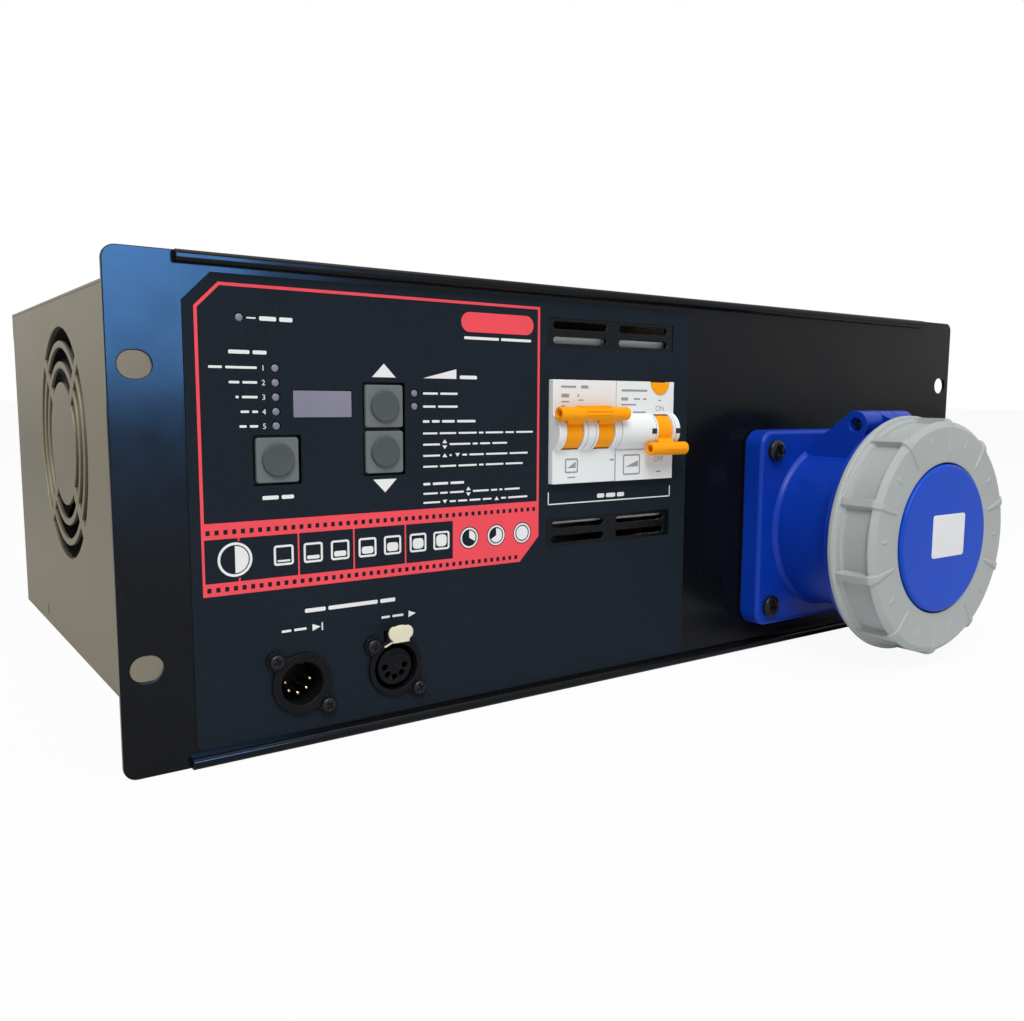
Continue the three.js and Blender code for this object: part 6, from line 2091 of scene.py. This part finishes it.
@dataclass
class Fan:
    """The fan on the left wall."""

    shop: Workshop
    hub: float = 19.5
    span: Pair = (-218.6, -198.3)
    axle: float = 2.5
    axle_end: float = -194.5
    root: float = 18.5
    tip: float = 55.4
    blades: int = 7
    thick: float = 1.6

    def blade(self, turn: float) -> Shell:
        """Makes one blade as a grid of sections along its radius.

        A section's middle line is chord c in [-1, 1] times (cos a, sin a) plus a camber of
        1.6 (1 - c^2) across it; its half thickness is (t / 2) sqrt(1 - c^2), and its angle a falls
        from 0.85 at the hub to 0.5 at the tip.

        Args:
            turn: Angle of the blade about the axis.

        Returns:
            The closed shell.
        """
        radius = np.linspace(self.root, self.tip, 24)[:, None]
        s = full_circle(40)
        chord, share = np.cos(s), (radius - self.root) / (self.tip - self.root)
        pitch, half = 0.85 - 0.35 * share, 8.2 + 1.6 * share
        across = 1.6 * (1.0 - chord**2) + self.thick / 2 * np.sin(s)
        along = chord * half * np.cos(pitch) - across * np.sin(pitch)
        aside = chord * half * np.sin(pitch) + across * np.cos(pitch)
        angle = turn + aside / radius
        return skin(polar(Axis.X, FAN_CENTRE, radius, angle, sum(self.span) / 2 + along))

    def build(self) -> None:
        """Builds the fan."""
        (low, high), r = self.span, self.hub
        front = [(0.0, low), (r - 2.0, low), (r - 0.6, low + 0.5), (r, low + 1.8)]
        back = [(r, high - 0.6), (r - 0.6, high), (self.axle, high)]
        hub = [*front, *back, (self.axle, self.axle_end), (0.0, self.axle_end)]
        shells = [lathe(hub, Axis.X, FAN_CENTRE, 72)]
        shells += [self.blade(FULL_TURN * k / self.blades) for k in range(self.blades)]
        self.shop.piece("rotor", shells, DARK_PLASTIC, "fan_rotor", "fan_rotor")
        self.shop.softened("fan_case", "fan_frame", DARK_PLASTIC, 0.5)


@dataclass
class Works:
    """The pieces inside, which keep their CAD shapes and take their finishes."""

    shop: Workshop

    def build(self) -> None:
        """Dresses the pieces inside."""
        self.shop.dress(HEAT_SINK, "heat_sink")
        self.shop.dress(DARK_PLASTIC, "thyristor_module")
        self.shop.dress(COPPER_COIL, "choke")
        self.shop.dress(STEEL_PLATE, "choke_clamp", "supply_transformer")
        self.shop.dress(BREAKER_WHITE, "terminal_block")


# Studio


@dataclass(frozen=True)
class Lamp:
    """A square soft lamp.

    Attributes:
        name: Name of the lamp.
        where: Position in metres.
        aim: Point that it faces.
        size: Side of the square in metres.
        power: Power in watts.
        colour: Linear colour.
    """

    name: str
    where: Triple
    aim: Triple
    size: float
    power: float
    colour: Triple = (1.0, 1.0, 1.0)

    def hang(self) -> bpy.types.Object:
        """Hangs the lamp.

        Returns:
            The lamp's object.
        """
        data = bpy.data.lights.new(self.name, "AREA")
        data.shape = "SQUARE"
        data.size, data.energy, data.color = self.size, self.power, self.colour
        obj = linked(self.name, data)
        obj.location = self.where
        obj.rotation_euler = (Vector(self.aim) - obj.location).to_track_quat("-Z", "Y").to_euler()
        return obj


KEY_LAMP = Lamp("key_light", (-1.0, -1.5, 2.0), (0.0, -0.1, 0.09), 1.2, 44.0)
TOP_LAMP = Lamp("top_light", (0.2, -0.6, 1.9), (0.0, 0.0, 0.1), 1.4, 12.0)
SHEEN_LAMP = Lamp("sheen_light", (0.0, -1.6, 0.46), (-0.23, 0.0, 0.16), 0.62, 52.0, (0.13, 0.42, 1.0))
WHITE = (1.0, 1.0, 1.0, 1.0)


@dataclass
class Studio:
    """Camera, pale floor, white backdrop and soft light.

    Attributes:
        face_y: Model Y, in metres, of the panel's front face.
        position: Camera position in millimetres in the panel's frame.
        pitch: Tilt up in radians.
        roll: Roll in radians.
        yaw: Turn about Z in radians.
        focal: Focal length in pixels.
        centre: Principal point in pixels.
        frame: Width and height of the picture that these pixels count.
        sensor: Width of the camera's sensor in millimetres.
        floor_reach: Half the floor's side in metres.
        floor_white: Share of plain white in the floor where the camera sees it.
    """

    face_y: float
    position: Triple = (-310.7121151, -331.7941138, 130.1172182)
    pitch: float = -0.1191603930
    roll: float = -0.0100787713
    yaw: float = -0.6436078160
    focal: float = 954.5902583
    centre: Pair = (554.8546034, 511.3375870)
    frame: tuple[int, int] = (1024, 1021)
    sensor: float = 36.0
    floor_reach: float = 15.0
    floor_white: float = 0.94

    def camera(self) -> None:
        """Sets the camera that sees the object as the photograph does."""
        spins = ((self.yaw, "Z"), (self.pitch, "X"), (self.roll, "Y"))
        yaw, pitch, roll = (Matrix.Rotation(angle, 3, axis) for angle, axis in spins)
        turn = yaw @ pitch @ roll
        right, forward, up = turn.col
        data = bpy.data.cameras.new("photo_camera")
        data.sensor_fit = "HORIZONTAL"
        data.sensor_width = self.sensor
        width, height = self.frame
        data.lens = self.focal / width * self.sensor
        data.shift_x = (width / 2 - self.centre[0]) / width
        data.shift_y = (self.centre[1] - height / 2) / width
        data.clip_start, data.clip_end = 0.01, 50.0
        obj = linked("photo_camera", data)
        pose = Matrix((right, up, -forward)).transposed().to_4x4()
        x, y, z = (value * MILLIMETRE for value in self.position)
        pose.translation = Vector((x, y + self.face_y, z))
        obj.matrix_world = pose
        bpy.context.scene.camera = obj

    def backdrop(self) -> None:
        """Makes the world: white where it is seen, soft grey where it only gives light."""
        world = bpy.data.worlds.new("studio")
        world.use_nodes = True
        world.node_tree.nodes.clear()
        net = Net(world.node_tree)
        rays = net.add("LightPath").node.outputs
        seen = rays["Is Camera Ray"]
        for kind in ("Is Glossy Ray", "Is Transmission Ray"):
            seen = net.add("Math", {0: seen, 1: rays[kind]}, operation="MAXIMUM")
        white = net.add("Background", {"Color": WHITE, "Strength": 1.0})
        soft = net.add("Background", {"Color": (0.94, 0.97, 1.0, 1.0), "Strength": 0.25})
        result = net.tree.nodes.new("ShaderNodeOutputWorld")
        net.feed(result, {"Surface": net.add("MixShader", {0: seen, 1: soft, 2: white})})
        bpy.context.scene.world = world

    def floor_material(self) -> bpy.types.Material:
        """Makes the floor's material: mostly plain white where seen, part matt for the shadow.

        Returns:
            The Blender material.
        """
        material = bpy.data.materials.new("studio_floor")
        material.use_nodes = True
        net, nodes = Net(material.node_tree), material.node_tree.nodes
        shader = nodes["Principled BSDF"]
        matt = {"Base Color": (0.86, 0.86, 0.86, 1.0), "Roughness": 0.95, "Specular IOR Level": 0.1}
        net.feed(shader, matt)
        seen = net.add("LightPath", out="Is Camera Ray")
        share = net.add("Math", {0: seen, 1: self.floor_white}, operation="MULTIPLY")
        glow = net.add("Emission", {"Color": WHITE})
        mix = net.add("MixShader", {0: share, 1: shader.outputs[0], 2: glow})
        net.feed(nodes["Material Output"], {"Surface": mix})
        return material

    def floor(self) -> None:
        mesh = bpy.data.meshes.new("floor")
        ends = (-self.floor_reach, self.floor_reach)
        mesh.from_pydata([(*spot, 0.0) for spot in rect(ends, ends).tolist()], [], [(0, 1, 2, 3)])
        mesh.materials.append(self.floor_material())
        linked("floor", mesh)

    def build(self) -> None:
        """Builds the studio; the sheen lamp lights the painted panel's gloss and nothing else."""
        bpy.context.scene.view_settings.view_transform = "Standard"
        self.camera()
        self.backdrop()
        self.floor()
        KEY_LAMP.hang()
        TOP_LAMP.hang()
        sheen = SHEEN_LAMP.hang()
        sheen.visible_diffuse = False
        painted = bpy.data.collections.new("painted_parts")
        painted.objects.link(bpy.data.objects["panel_sheet"])
        sheen.light_linking.receiver_collection = painted


# The whole


def corners(box: tuple[Vector, Vector]) -> list[list[float]]:
    """Returns a box's two corners as plain lists."""
    return [[float(value) for value in corner] for corner in box]


ASSEMBLIES = (
    FoldedPanel,
    OverlayFilm,
    FrontPrint,
    Controls,
    ControlConnectors,
    Breakers,
    SocketOutlet,
    OutletLid,
    Chassis,
    Fan,
    Works,
)


def main() -> None:
    """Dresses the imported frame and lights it."""
    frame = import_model()
    face_y = float(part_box("front_overlay")[1].y)
    shop = Workshop(frame["nodes"], face_y)
    for assembly in ASSEMBLIES:
        assembly(shop).build()
    Studio(face_y).build()
    log.info("made %d pieces", len(shop.made))


if __name__ == "__main__":
    logging.basicConfig(level=logging.INFO, format="%(name)s: %(message)s")
    main()
